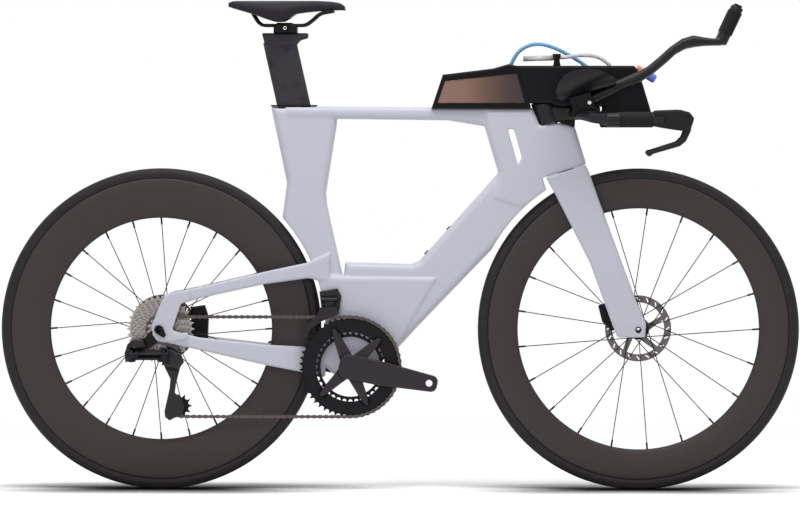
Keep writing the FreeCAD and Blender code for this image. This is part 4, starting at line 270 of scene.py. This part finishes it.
def tyre_material():
    """Slick rubber: fine slanted cuts on the shoulders, a smooth casing ring by the rim."""
    m = Nodes("tyre_rubber")
    split = m.add("ShaderNodeSeparateXYZ")
    m.link(m.uv(), split.inputs["Vector"])
    along, across = split.outputs["X"], split.outputs["Y"]
    turns = m.math("MULTIPLY", along, TREAD_REPEATS)
    slant = m.math("ADD", turns, m.math("MULTIPLY", across, TREAD_SLANT))
    wave = m.math("PINGPONG", slant, 0.5)
    cuts = m.math("LESS_THAN", wave, CUT_SHARE)
    middle = m.math("ABSOLUTE", m.math("SUBTRACT", across, 0.5), 0)
    past_crown = m.math("GREATER_THAN", middle, SHOULDER_FROM)
    band = m.math("MULTIPLY", past_crown, m.math("LESS_THAN", middle, SHOULDER_TO))
    group_wave = m.math("PINGPONG", m.math("MULTIPLY", along, TREAD_REPEATS / GROUP_CUTS), 0.5)
    groups = m.math("LESS_THAN", group_wave, GROUP_SHARE)
    pattern = m.math("MULTIPLY", m.math("MULTIPLY", cuts, band), groups)
    spot = m.place()
    cloud = m.noise(spot, scale=40)
    base = m.ramp(cloud, [(0.3, srgb(34, 31, 33)), (0.7, srgb(43, 39, 42))])
    # Painted shade: the recessed cuts are coloured darker than the rubber around them
    mix = m.add("ShaderNodeMix", data_type="RGBA")
    m.link(pattern, mix.inputs["Factor"])
    m.link(base, mix.inputs["A"])
    mix.inputs["B"].default_value = srgb(22, 19, 21)
    m.colour(mix.outputs["Result"])
    m.rough(m.spread(cloud, low=0.5, high=0.62))
    pores = m.math("MULTIPLY", m.noise(spot, scale=1500), 0.2)
    m.bump(m.math("SUBTRACT", pores, pattern), strength=0.5, depth=TREAD_DEPTH)
    m.set(Specular_IOR_Level=0.2)
    return m.material


STREAK_STRETCH = (30, 30, 30)
STREAK_SCALE = 30.0
STREAK_DEPTH = 0.0003
# Reach, samples, power and darkest share of the painted shade in metal crevices
CREVICE_SHADE_REACH = 0.008
CREVICE_SHADE_STEPS = 8
CREVICE_SHADE_POWER = 1.5
CREVICE_SHADE_LEVEL = 0.12


def metal(name, colour, rough):
    """Metal with fine machining streaks and painted shade darkening its crevices."""
    m = Nodes(name)
    lines = m.noise(m.place(STREAK_STRETCH), STREAK_SCALE, detail=5.0)
    unshaded = m.ramp(lines, [(0.25, shade(colour, 0.86)), (0.75, shade(colour, 1.1))])
    # Painted shade: ambient occlusion darkens the colour in crevices and between close parts
    crevice_shade = m.add("ShaderNodeAmbientOcclusion", samples=CREVICE_SHADE_STEPS)
    crevice_shade.inputs["Distance"].default_value = CREVICE_SHADE_REACH
    mix = m.add("ShaderNodeMix", data_type="RGBA")
    m.link(m.math("POWER", crevice_shade.outputs["AO"], CREVICE_SHADE_POWER), mix.inputs["Factor"])
    mix.inputs["A"].default_value = shade(colour, CREVICE_SHADE_LEVEL)
    m.link(unshaded, mix.inputs["B"])
    m.colour(mix.outputs["Result"])
    m.rough(m.spread(lines, low=0.8 * rough, high=1.25 * rough))
    m.bump(lines, strength=0.03, depth=STREAK_DEPTH)
    m.set(Metallic=1.0)
    return m.material


PLASTIC_IOR = 1.4


def clear_material(name, colour, rough, transmission):
    """Clouded see-through plastic of hose and straw."""
    m = Nodes(name)
    cloud = m.noise(m.place(), scale=60)
    m.colour(m.ramp(cloud, [(0.3, shade(colour, 0.95)), (0.7, shade(colour, 1.05))]))
    m.rough(m.spread(cloud, low=0.9 * rough, high=1.1 * rough))
    m.set(Transmission_Weight=transmission, IOR=PLASTIC_IOR, Specular_IOR_Level=0.5)
    return m.material


WINDOW_PIXELS = (446, 522)


def window_material():
    """Smoked pane: amber towards the back, dark towards the front."""
    m = Nodes("smoked_window")
    split = m.add("ShaderNodeSeparateXYZ")
    m.link(m.place(), split.inputs["Vector"])
    along = m.add("ShaderNodeMapRange")
    along.inputs["From Min"].default_value = px(WINDOW_PIXELS[0])
    along.inputs["From Max"].default_value = px(WINDOW_PIXELS[1])
    m.link(split.outputs["X"], along.inputs["Value"])
    m.colour(m.ramp(along.outputs["Result"], [
        (0.0, srgb(190, 156, 141)), (0.25, srgb(186, 151, 135)), (0.55, srgb(150, 117, 102)),
        (0.8, srgb(112, 90, 84)), (1.0, srgb(96, 78, 76)),
    ]))
    m.rough(m.spread(m.noise(m.place(), scale=60), low=0.1, high=0.16))
    m.set(Transmission_Weight=0.6, IOR=PLASTIC_IOR, Specular_IOR_Level=0.4)
    return m.material


PEBBLE_DEPTH = 0.0004


def leather_material(name, colour):
    """Fine pebbled synthetic leather."""
    m = Nodes(name)
    spot = m.place()
    pebble = m.cells(spot, scale=900)
    cloud = m.noise(spot, scale=22)
    m.colour(m.ramp(cloud, [(0.3, shade(colour, 0.92)), (0.7, shade(colour, 1.1))]))
    m.rough(m.spread(pebble, low=0.5, high=0.62))
    m.bump(pebble, strength=0.25, depth=PEBBLE_DEPTH)
    m.set(Specular_IOR_Level=0.2)
    return m.material


WRAP_SCALE = 22
WRAP_UNEVEN = 0.4
WRAP_DEPTH = 0.0012


def tape_material():
    """Wrapped bar tape: overlapping turns along X with a fine perforated grain."""
    m = Nodes("grip_tape")
    spot = m.place()
    wave = m.add("ShaderNodeTexWave", wave_type="BANDS", bands_direction="X", wave_profile="SAW")
    wave.inputs["Scale"].default_value = WRAP_SCALE
    wave.inputs["Distortion"].default_value = WRAP_UNEVEN
    m.link(spot, wave.inputs["Vector"])
    pores = m.cells(spot, scale=700)
    m.colour(m.ramp(pores, [(0.1, srgb(17, 16, 18)), (0.5, srgb(30, 29, 31))]))
    m.rough(m.spread(pores, low=0.75, high=0.6))
    m.bump(m.math("ADD", wave.outputs["Fac"], m.math("MULTIPLY", pores, 0.3)), strength=0.6, depth=WRAP_DEPTH)
    m.set(Specular_IOR_Level=0.15)
    return m.material


FACET_SCALE = 34
FACET_CONTRAST = 1.4
FACET_STRETCH = (1, 0.05, 1)


def post_material():
    """Matte dark post with faint tonal facets."""
    m = Nodes("post_carbon")
    spot = m.place(FACET_STRETCH)
    facets = m.add("ShaderNodeTexVoronoi", distance="MANHATTAN")
    facets.inputs["Scale"].default_value = FACET_SCALE
    m.link(spot, facets.inputs["Vector"])
    tone = m.math("MULTIPLY", facets.outputs["Distance"], FACET_CONTRAST)
    m.colour(m.ramp(tone, [(0.0, srgb(29, 27, 33)), (1.0, srgb(50, 46, 54))]))
    fine = m.noise(m.place(), scale=1200)
    m.rough(m.spread(fine, low=0.5, high=0.6))
    m.bump(fine, strength=0.06, depth=GRAIN_DEPTH)
    m.set(Specular_IOR_Level=0.25)
    return m.material


def make_materials():
    return {
        "paint": paint_material(),
        "rim": rim_material(),
        "tyre": tyre_material(),
        "carbon": surface("satin_carbon", srgb(24, 22, 26), rough=0.3, mottle=0.15, mottle_scale=40,
                          grain=0.05, Specular_IOR_Level=0.25),
        "box": surface("box_plastic", srgb(14, 13, 17), rough=0.34, mottle=0.08,
                       grain=0.06, grain_scale=700, Specular_IOR_Level=0.12),
        "rubber": surface("rubber_black", srgb(18, 17, 19), rough=0.62, mottle=0.1,
                          grain=0.25, grain_scale=1100, Specular_IOR_Level=0.15),
        "hood": surface("hood_rubber", srgb(24, 23, 25), rough=0.6, mottle=0.08,
                        grain=0.35, grain_scale=1400, Specular_IOR_Level=0.2),
        "pad": surface("pad_foam", srgb(18, 18, 20), rough=0.8, mottle=0.1,
                       grain=0.4, grain_scale=1600, Specular_IOR_Level=0.15),
        "saddle": leather_material("saddle_skin", srgb(34, 31, 39)),
        "post": post_material(),
        "tape": tape_material(),
        "silver": metal("cassette_steel", srgb(168, 162, 158), rough=0.26),
        "chain": metal("chain_steel", srgb(88, 80, 79), rough=0.3),
        "rotor": metal("rotor_steel", srgb(104, 98, 101), rough=0.3),
        "alloy_black": metal("alloy_black", srgb(34, 33, 35), rough=0.42),
        "crank": metal("alloy_grey", srgb(54, 50, 54), rough=0.34),
        "derailleur": metal("derailleur_grey", srgb(50, 48, 51), rough=0.34),
        "spoke": metal("spoke_black", srgb(44, 41, 41), rough=0.42),
        "bolt": metal("bolt_steel", srgb(210, 210, 212), rough=0.2),
        "window": window_material(),
        "hose": clear_material("hose_blue", srgb(140, 204, 240), rough=0.15, transmission=0.45),
        "straw": clear_material("straw_clear", srgb(240, 238, 242), rough=0.12, transmission=0.6),
        "orange": surface("valve_orange", srgb(238, 132, 60), rough=0.4, grain=0.05),
        "blue": surface("valve_blue", srgb(96, 124, 224), rough=0.35, grain=0.05),
    }


# Geometry helpers

def add_object(name, mesh, material):
    mesh.materials.clear()
    mesh.materials.append(material)
    obj = bpy.data.objects.new(name, mesh)
    bpy.context.scene.collection.objects.link(obj)
    return obj


def smooth(mesh):
    mesh.polygons.foreach_set("use_smooth", [True] * len(mesh.polygons))


def baked(obj):
    """Applies the modifiers of a new piece to its mesh."""
    view = bpy.context.evaluated_depsgraph_get()
    mesh = bpy.data.meshes.new_from_object(obj.evaluated_get(view))
    obj.modifiers.clear()
    obj.data = mesh
    return obj


# Voxel size in metres and smoothing passes of each node that gets a moulded skin

SKINS = {
    "frame": (0.0017, 10),
    "fork": (0.0020, 14),
    "seatpost": (0.0020, 4),
    "saddle_cover": (0.0025, 14),
    "crank_right": (0.0011, 5),
    "crank_left": (0.0011, 5),
    "rd_b_knuckle": (0.0008, 5),
    "rd_outer_link": (0.0008, 5),
    "rd_inner_link": (0.0008, 5),
    "rd_p_knuckle": (0.0008, 5),
    "drink_box": (0.0016, 12),
    "base_bar": (0.0018, 6),
    "lever_hoods": (0.0013, 18),
    "brake_lever_left": (0.0010, 12),
    "brake_lever_right": (0.0010, 12),
    "arm_pads": (0.0020, 8),
    "extensions": (0.0015, 14),
}
RELAX_SHARE = 0.5


def soften(node, material):
    """Copy of a node with its edges blended into one moulded skin, standing for the node."""
    voxel, passes = SKINS[node]
    obj = add_object(f"{node}_skin", nodes[node].data.copy(), material)
    remesh = obj.modifiers.new("remesh", "REMESH")
    remesh.mode = "VOXEL"
    remesh.voxel_size = voxel
    relax = obj.modifiers.new("relax", "SMOOTH")
    relax.factor = RELAX_SHARE
    relax.iterations = passes
    baked(obj)
    obj.data.materials.clear()
    obj.data.materials.append(material)
    smooth(obj.data)
    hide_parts(node)
    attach(obj, body_of_node[node])
    return obj


WHEEL_STEPS = 256


def lathe(name, profile, x, material, segments=WHEEL_STEPS, z=AXLE_Z):
    """Closed profile of (along Y, radius) points turned about a cross axis, with UVs round and across."""
    count = len(profile)
    verts = []
    for step in range(segments):
        turn = 2 * math.pi * step / segments
        for y, radius in profile:
            verts.append((x + radius * math.cos(turn), y, z + radius * math.sin(turn)))
    faces = []
    for step in range(segments):
        ahead = (step + 1) % segments
        for i in range(count):
            j = (i + 1) % count
            faces.append((step * count + i, step * count + j, ahead * count + j, ahead * count + i))
    mesh = bpy.data.meshes.new(name)
    mesh.from_pydata(verts, [], faces)
    layer = mesh.uv_layers.new(name="around")
    for face in mesh.polygons:
        step, i = divmod(face.index, count)
        corners = ((step, i), (step, i + 1), (step + 1, i + 1), (step + 1, i))
        for loop, (s, a) in zip(face.loop_indices, corners):
            layer.data[loop].uv = (s / segments, a / count)
    mesh.update()
    smooth(mesh)
    return add_object(name, mesh, material)


def recalculated(obj):
    """Turns the faces of a new piece outwards."""
    work = bmesh.new()
    work.from_mesh(obj.data)
    bmesh.ops.recalc_face_normals(work, faces=work.faces)
    work.to_mesh(obj.data)
    work.free()
    return obj


SPLINE_ORDER = 3


def spline_points(points, steps):
    """Points along the NURBS line that has the given points as its control points."""
    curve = bpy.data.curves.new("route", "CURVE")
    curve.dimensions = "3D"
    curve.resolution_u = steps
    spline = curve.splines.new("NURBS")
    spline.points.add(len(points) - 1)
    for target, place in zip(spline.points, points):
        target.co = (*place, 1)
    spline.order_u = SPLINE_ORDER
    spline.use_endpoint_u = True
    guide = bpy.data.objects.new("route", curve)
    bpy.context.scene.collection.objects.link(guide)
    view = bpy.context.evaluated_depsgraph_get()
    mesh = bpy.data.meshes.new_from_object(guide.evaluated_get(view))
    line = [v.co.copy() for v in mesh.vertices]
    bpy.data.objects.remove(guide)
    bpy.data.curves.remove(curve)
    bpy.data.meshes.remove(mesh)
    return line


def dress(node, material):
    """A node whose shape is right keeps it and takes a material."""
    data = nodes[node].data
    data.materials.clear()
    data.materials.append(material)


EDGE_STEPS = 2
EDGE_ANGLE = math.radians(35)


def rounded(node, width, material):
    """A node whose hard edges are broken by a small round; its shape stays as it is."""
    dress(node, material)
    edge = nodes[node].modifiers.new("edge_round", "BEVEL")
    edge.width = width
    edge.segments = EDGE_STEPS
    edge.limit_method = "ANGLE"
    edge.angle_limit = EDGE_ANGLE
    edge.use_clamp_overlap = True
    edge.harden_normals = True


def accent(node, material, chosen):
    """A second material on the faces of a node whose middles pass a test."""
    data = nodes[node].data
    data.materials.append(material)
    slot = len(data.materials) - 1
    for face in data.polygons:
        if chosen(face.center):
            face.material_index = slot


# Wheels

TYRE_STEPS = 28
TYRE_OPEN_ANGLE = 2.25
TYRE_INNER_SHARE = 0.82
LIP_OUTER_SHARE = 0.95
LIP_INNER_SHARE = 0.81
LIP_HEIGHT = 0.0026
BED_DEPTH = 0.0055
RIM_STEPS = 4
RIM_SHARES = [(1.0, 0.0), (1.07, 0.12), (1.08, 0.3), (1.0, 0.52), (0.8, 0.74), (0.52, 0.92), (0.24, 1.0)]


def tyre_profile():
    """Round casing from one rim edge over the tread to the other, then back inside."""
    middle = TYRE_RADIUS - TYRE_HALF
    outer, inner = [], []
    for step in range(TYRE_STEPS + 1):
        turn = -TYRE_OPEN_ANGLE + 2 * TYRE_OPEN_ANGLE * step / TYRE_STEPS
        y, r = math.sin(turn), math.cos(turn)
        outer.append((TYRE_HALF * y, middle + TYRE_HALF * r))
        inner.append((TYRE_INNER_SHARE * TYRE_HALF * y, middle + TYRE_INNER_SHARE * TYRE_HALF * r))
    return outer + inner[::-1]


def rim_profile(depth):
    """Deep toroidal section, smoothed between the named shares, with a lip at each edge for the tyre."""
    control = [Vector((a * RIM_HALF, RIM_EDGE - d * depth, 0)) for a, d in RIM_SHARES]
    half = [(point.x, point.y) for point in spline_points(control, RIM_STEPS)]
    lip_inside = LIP_INNER_SHARE * RIM_HALF
    lip_top = RIM_EDGE + LIP_HEIGHT
    lip = [(lip_inside, RIM_EDGE - BED_DEPTH), (lip_inside, lip_top), (LIP_OUTER_SHARE * RIM_HALF, lip_top)]
    side = lip + half
    return side + [(-y, r) for y, r in reversed(side)]


def make_wheels(mats):
    for end, x, depth in (("front", AXLE_X, FRONT_RIM_DEPTH), ("rear", -AXLE_X, REAR_RIM_DEPTH)):
        body = f"{end}_wheel"
        tyre = recalculated(lathe(f"{end}_tyre_casing", tyre_profile(), x, mats["tyre"]))
        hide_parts(f"{end}_tyre")
        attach(tyre, body)
        rim = recalculated(lathe(f"{end}_rim_carbon", rim_profile(depth), x, mats["rim"]))
        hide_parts(f"{end}_rim")
        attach(rim, body)
        dress(f"{end}_hub", mats["alloy_black"])
        dress(f"{end}_spokes", mats["spoke"])
        dress(f"{end}_rotor", mats["rotor"])
        dress(f"{end}_axle", mats["alloy_black"])


# Frame, fork and seat; the clamp's barrel and bolt sit on both sides of its block

CLAMP_PIXEL = (285.6, 28.2)
CLAMP_HALF = 0.0280
CLAMP_EDGE = 0.0008
BARREL_RADIUS = 0.0085
BARREL_PROUD = 0.003
BOLT_RADIUS = 0.0042
BOLT_PROUD = 0.0045
TURNED_STEPS = 48
HEAD_SHARES = [(0, 0.4), (0, 1), (0.75, 1), (1, 0.86), (1, 0.52), (0.35, 0.4)]


def turned_head(name, radius, proud, way, material):
    """Turned boss with a broken edge and a socket, standing out of the side of the saddle clamp."""
    profile = [(way * (CLAMP_HALF + up * proud), out * radius) for up, out in HEAD_SHARES]
    head = lathe(name, profile, px(CLAMP_PIXEL[0]), material, TURNED_STEPS, pz(CLAMP_PIXEL[1]))
    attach(recalculated(head), body_of_node["saddle_clamp"])


def make_frame(mats):
    soften("frame", mats["paint"])
    soften("fork", mats["paint"])
    dress("bottle_inserts", mats["alloy_black"])
    dress("headset_bearings", mats["rotor"])
    dress("headset_cover", mats["box"])
    dress("bottom_bracket_cups", mats["alloy_black"])
    dress("seat_collar", mats["rubber"])
    soften("seatpost", mats["post"])
    rounded("saddle_clamp", CLAMP_EDGE, mats["alloy_black"])
    for side, way in (("left", 1), ("right", -1)):
        turned_head(f"clamp_barrel_{side}", BARREL_RADIUS, BARREL_PROUD, way, mats["alloy_black"])
        turned_head(f"clamp_bolt_{side}", BOLT_RADIUS, BOLT_PROUD, way, mats["bolt"])
    dress("saddle_rails", mats["alloy_black"])
    dress("saddle_shell", mats["box"])
    cover = soften("saddle_cover", mats["saddle"])


# Drive train and brakes

def make_drive(mats):
    soften("crank_right", mats["crank"])
    soften("crank_left", mats["crank"])
    dress("chain", mats["chain"])
    dress("chainrings", mats["alloy_black"])
    dress("cassette", mats["silver"])
    dress("derailleur_hanger", mats["alloy_black"])
    for node in ("rd_b_knuckle", "rd_outer_link", "rd_inner_link", "rd_p_knuckle"):
        soften(node, mats["derailleur"])
    dress("rd_cage", mats["derailleur"])
    dress("guide_pulley", mats["rubber"])
    dress("tension_pulley", mats["rubber"])
    dress("front_derailleur", mats["derailleur"])
    dress("fd_cage", mats["derailleur"])
    dress("rear_caliper", mats["alloy_black"])
    dress("front_caliper", mats["alloy_black"])


# Boxes, hose and straw

HOSE_PIXELS = [
    (510.5, 65.5), (515, 54.5), (525, 46.5), (538, 43.4), (552, 46.8), (566, 53.4), (579, 61.2), (587, 67),
]
STRAW_PIXELS = [(552, 58.1), (566, 57.6), (580, 55.2), (594, 55.8), (604, 60), (610, 65.8)]
SLEEVE_PIXELS = [(523, 59), (556, 58)]
HOSE_RADIUS = 0.004
HOSE_BORE = 0.0028
SLEEVE_RADIUS = 0.0055
SLEEVE_GAP = 0.0001
HOSE_SIDE = 0.012
CORD_STEPS = 12
TUBE_SIDES = 20


def route(pixels, y):
    return [Vector((px(a), y, pz(d))) for a, d in pixels]


def tube_mesh(name, line, outer, inner, material):
    """Hollow tube along a line that lies in a plane of constant Y."""
    verts, faces = [], []
    count, sides = len(line), TUBE_SIDES
    for i, place in enumerate(line):
        ahead = line[min(i + 1, count - 1)] - line[max(i - 1, 0)]
        ahead.normalize()
        side = Vector((0, 1, 0))
        up = ahead.cross(side)
        for radius in (outer, inner):
            for k in range(sides):
                turn = 2 * math.pi * k / sides
                verts.append(place + (side * math.cos(turn) + up * math.sin(turn)) * radius)
    ring = 2 * sides
    for k in range(sides):
        j = (k + 1) % sides
        for i in range(count - 1):
            a, b = i * ring, (i + 1) * ring
            faces.append((a + k, a + j, b + j, b + k))
            faces.append((a + sides + k, b + sides + k, b + sides + j, a + sides + j))
        faces.append((k, sides + k, sides + j, j))
        last = (count - 1) * ring
        faces.append((last + k, last + j, last + sides + j, last + sides + k))
    mesh = bpy.data.meshes.new(name)
    mesh.from_pydata(verts, [], faces)
    smooth(mesh)
    return recalculated(add_object(name, mesh, material))


def make_hoses(mats):
    line = spline_points(route(HOSE_PIXELS, HOSE_SIDE), CORD_STEPS)
    hose = tube_mesh("hose_line", line, HOSE_RADIUS, HOSE_BORE, mats["hose"])
    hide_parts("hose")
    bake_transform(hose)
    bent = spline_points(route(STRAW_PIXELS, -HOSE_SIDE), CORD_STEPS)
    straw = tube_mesh("straw_line", bent, HOSE_RADIUS, HOSE_BORE, mats["straw"])
    straight = route(SLEEVE_PIXELS, -HOSE_SIDE)
    sleeve = tube_mesh("straw_sleeve", straight, SLEEVE_RADIUS, HOSE_RADIUS + SLEEVE_GAP, mats["straw"])
    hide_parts("straw")
    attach(straw, "steering")
    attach(sleeve, "steering")


COLLAR_PIXEL = 643.7
BOX_EDGE = 0.0012
DIVIDER_PIXELS = (504, 508)
DIVIDER_HEIGHT_PIXELS = (108, 77)
DIVIDER_HALF = 0.024
DIVIDER_ROUND = 0.0012
DIVIDER_ROUND_STEPS = 3


def make_divider(mats):
    """Upright wall inside the storage box, seen as a dark band through its windows."""
    back, front = (px(across) for across in DIVIDER_PIXELS)
    bottom, top = (pz(down) for down in DIVIDER_HEIGHT_PIXELS)
    low, high = Vector((back, -DIVIDER_HALF, bottom)), Vector((front, DIVIDER_HALF, top))
    work = bmesh.new()
    bmesh.ops.create_cube(work, size=1.0)
    for vert in work.verts:
        vert.co = Vector((high[i] if vert.co[i] > 0 else low[i] for i in range(3)))
    bmesh.ops.bevel(work, geom=list(work.edges), offset=DIVIDER_ROUND, segments=DIVIDER_ROUND_STEPS,
                    affect="EDGES")
    mesh = bpy.data.meshes.new("storage_divider")
    work.to_mesh(mesh)
    work.free()
    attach(add_object("storage_divider", mesh, mats["box"]), body_of_node["storage_box"])


def make_boxes(mats):
    rounded("storage_box", BOX_EDGE, mats["box"])
    dress("storage_windows", mats["window"])
    soften("drink_box", mats["box"])
    dress("straw_clip", mats["box"])
    dress("bite_valve", mats["orange"])
    accent("bite_valve", mats["blue"], lambda spot: spot.x > px(COLLAR_PIXEL))
    make_divider(mats)


# Handlebar; the bolt's place picks out its faces

BOLT_PIXEL = (589.4, 102.7)
BOLT_REACH = 0.005
BOLT_SIDE = 0.109
CUP_EDGE = 0.0008


def make_bars(mats):
    soften("base_bar", mats["carbon"])
    dress("grip_tape", mats["tape"])
    soften("lever_hoods", mats["hood"])
    soften("brake_lever_left", mats["carbon"])
    soften("brake_lever_right", mats["carbon"])
    dress("armrest_risers", mats["alloy_black"])
    bolt = Vector((px(BOLT_PIXEL[0]), pz(BOLT_PIXEL[1])))
    accent("armrest_risers", mats["bolt"], lambda spot: abs(spot.y) > BOLT_SIDE
           and (Vector((spot.x, spot.z)) - bolt).length < BOLT_REACH)
    rounded("armrest_cups", CUP_EDGE, mats["carbon"])
    pads = soften("arm_pads", mats["pad"])
    soften("extensions", mats["carbon"])
    dress("extension_grips", mats["tape"])
    dress("shift_button_left", mats["rubber"])
    dress("shift_button_right", mats["rubber"])


# Studio: pale floor that keeps the cast shadow and has a painted contact shadow where parts come close, a
# white room, soft light from above and in front

FLOOR_SIZE = 30.0
FLOOR_SHADE = 0.9
FLOOR_SEEN_SHADE = 1.6
# Reach and power of the painted contact shadow on the floor
SHADOW_REACH = 0.22
SHADOW_DEPTH = 9.0
FLOOR_LIT_RADIUS = 1.5
FLOOR_WHITE_RADIUS = 3.0
ROOM_LEVEL = 0.42
LAMPS = {
    "top_light": {"place": (0.1, -0.9, 3.2), "target": (0, 0, 0.4), "size": (3.4, 0.9), "power": 62},
    "front_light": {"place": (-1.5, -4.5, 2.6), "target": (0, 0, 0.5), "size": (1.6, 1.2), "power": 24},
}


def seen_straight(tree):
    """1 for rays from the camera, a gloss or a clear piece, 0 for rays that only carry light."""
    path = tree.nodes.new("ShaderNodeLightPath")
    value = path.outputs["Is Camera Ray"]
    for kind in ("Is Glossy Ray", "Is Transmission Ray"):
        either = tree.nodes.new("ShaderNodeMath")
        either.operation = "MAXIMUM"
        tree.links.new(value, either.inputs[0])
        tree.links.new(path.outputs[kind], either.inputs[1])
        value = either.outputs[0]
    return value


def make_floor():
    """Pale floor: lit and shadowed near the bike, with a painted contact shadow where parts come close,
    running out into the white room behind it.
    """
    s = FLOOR_SIZE
    mesh = bpy.data.meshes.new("floor")
    mesh.from_pydata([(-s, -s, 0), (s, -s, 0), (s, s, 0), (-s, s, 0)], [], [(0, 1, 2, 3)])
    m = Nodes("floor_white")
    m.tree.nodes.remove(m.shader)
    straight = seen_straight(m.tree)
    lit, seen = m.add("ShaderNodeBsdfDiffuse"), m.add("ShaderNodeBsdfDiffuse")
    lit.inputs["Color"].default_value = (FLOOR_SHADE, FLOOR_SHADE, FLOOR_SHADE, 1)
    # Painted contact shadow: ambient occlusion darkens the floor's colour where parts come close to it
    painted_shadow = m.add("ShaderNodeAmbientOcclusion")
    painted_shadow.inputs["Distance"].default_value = SHADOW_REACH
    dimmed = m.math("POWER", painted_shadow.outputs["AO"], SHADOW_DEPTH)
    m.link(m.math("MULTIPLY", dimmed, FLOOR_SEEN_SHADE), seen.inputs["Color"])
    near = m.add("ShaderNodeMixShader")
    m.link(straight, near.inputs["Fac"])
    m.link(lit.outputs["BSDF"], near.inputs[1])
    m.link(seen.outputs["BSDF"], near.inputs[2])
    away = m.add("ShaderNodeVectorMath", operation="LENGTH")
    m.link(m.add("ShaderNodeTexCoord").outputs["Object"], away.inputs[0])
    fade = m.add("ShaderNodeMapRange", interpolation_type="SMOOTHSTEP")
    fade.inputs["From Min"].default_value = FLOOR_LIT_RADIUS
    fade.inputs["From Max"].default_value = FLOOR_WHITE_RADIUS
    m.link(away.outputs["Value"], fade.inputs["Value"])
    white = m.add("ShaderNodeEmission")
    far = m.add("ShaderNodeMixShader")
    m.link(m.math("MULTIPLY", fade.outputs["Result"], straight), far.inputs["Fac"])
    m.link(near.outputs["Shader"], far.inputs[1])
    m.link(white.outputs["Emission"], far.inputs[2])
    m.link(far.outputs["Shader"], m.tree.nodes["Material Output"].inputs["Surface"])
    add_object("floor", mesh, m.material)


def make_world():
    world = bpy.data.worlds.new("studio")
    bpy.context.scene.world = world
    world.use_nodes = True
    tree = world.node_tree
    room = tree.nodes["Background"]
    room.inputs["Color"].default_value = (1, 1, 1, 1)
    room.inputs["Strength"].default_value = ROOM_LEVEL
    white = tree.nodes.new("ShaderNodeBackground")
    white.inputs["Color"].default_value = (1, 1, 1, 1)
    white.inputs["Strength"].default_value = 1.0
    mix = tree.nodes.new("ShaderNodeMixShader")
    tree.links.new(seen_straight(tree), mix.inputs["Fac"])
    tree.links.new(room.outputs[0], mix.inputs[1])
    tree.links.new(white.outputs[0], mix.inputs[2])
    tree.links.new(mix.outputs[0], tree.nodes["World Output"].inputs["Surface"])


def area_light(name, place, target, size, power):
    data = bpy.data.lights.new(name, "AREA")
    data.shape = "RECTANGLE"
    data.size, data.size_y = size
    data.energy = power
    lamp = bpy.data.objects.new(name, data)
    lamp.location = place
    lamp.rotation_euler = (Vector(target) - Vector(place)).to_track_quat("-Z", "Y").to_euler()
    bpy.context.scene.collection.objects.link(lamp)


def make_studio():
    make_floor()
    make_world()
    for name, lamp in LAMPS.items():
        area_light(name, **lamp)
    bpy.context.scene.view_settings.view_transform = "Standard"


make_camera()
materials = make_materials()
make_hoses(materials)
make_wheels(materials)
make_frame(materials)
make_drive(materials)
make_boxes(materials)
make_bars(materials)
make_studio()
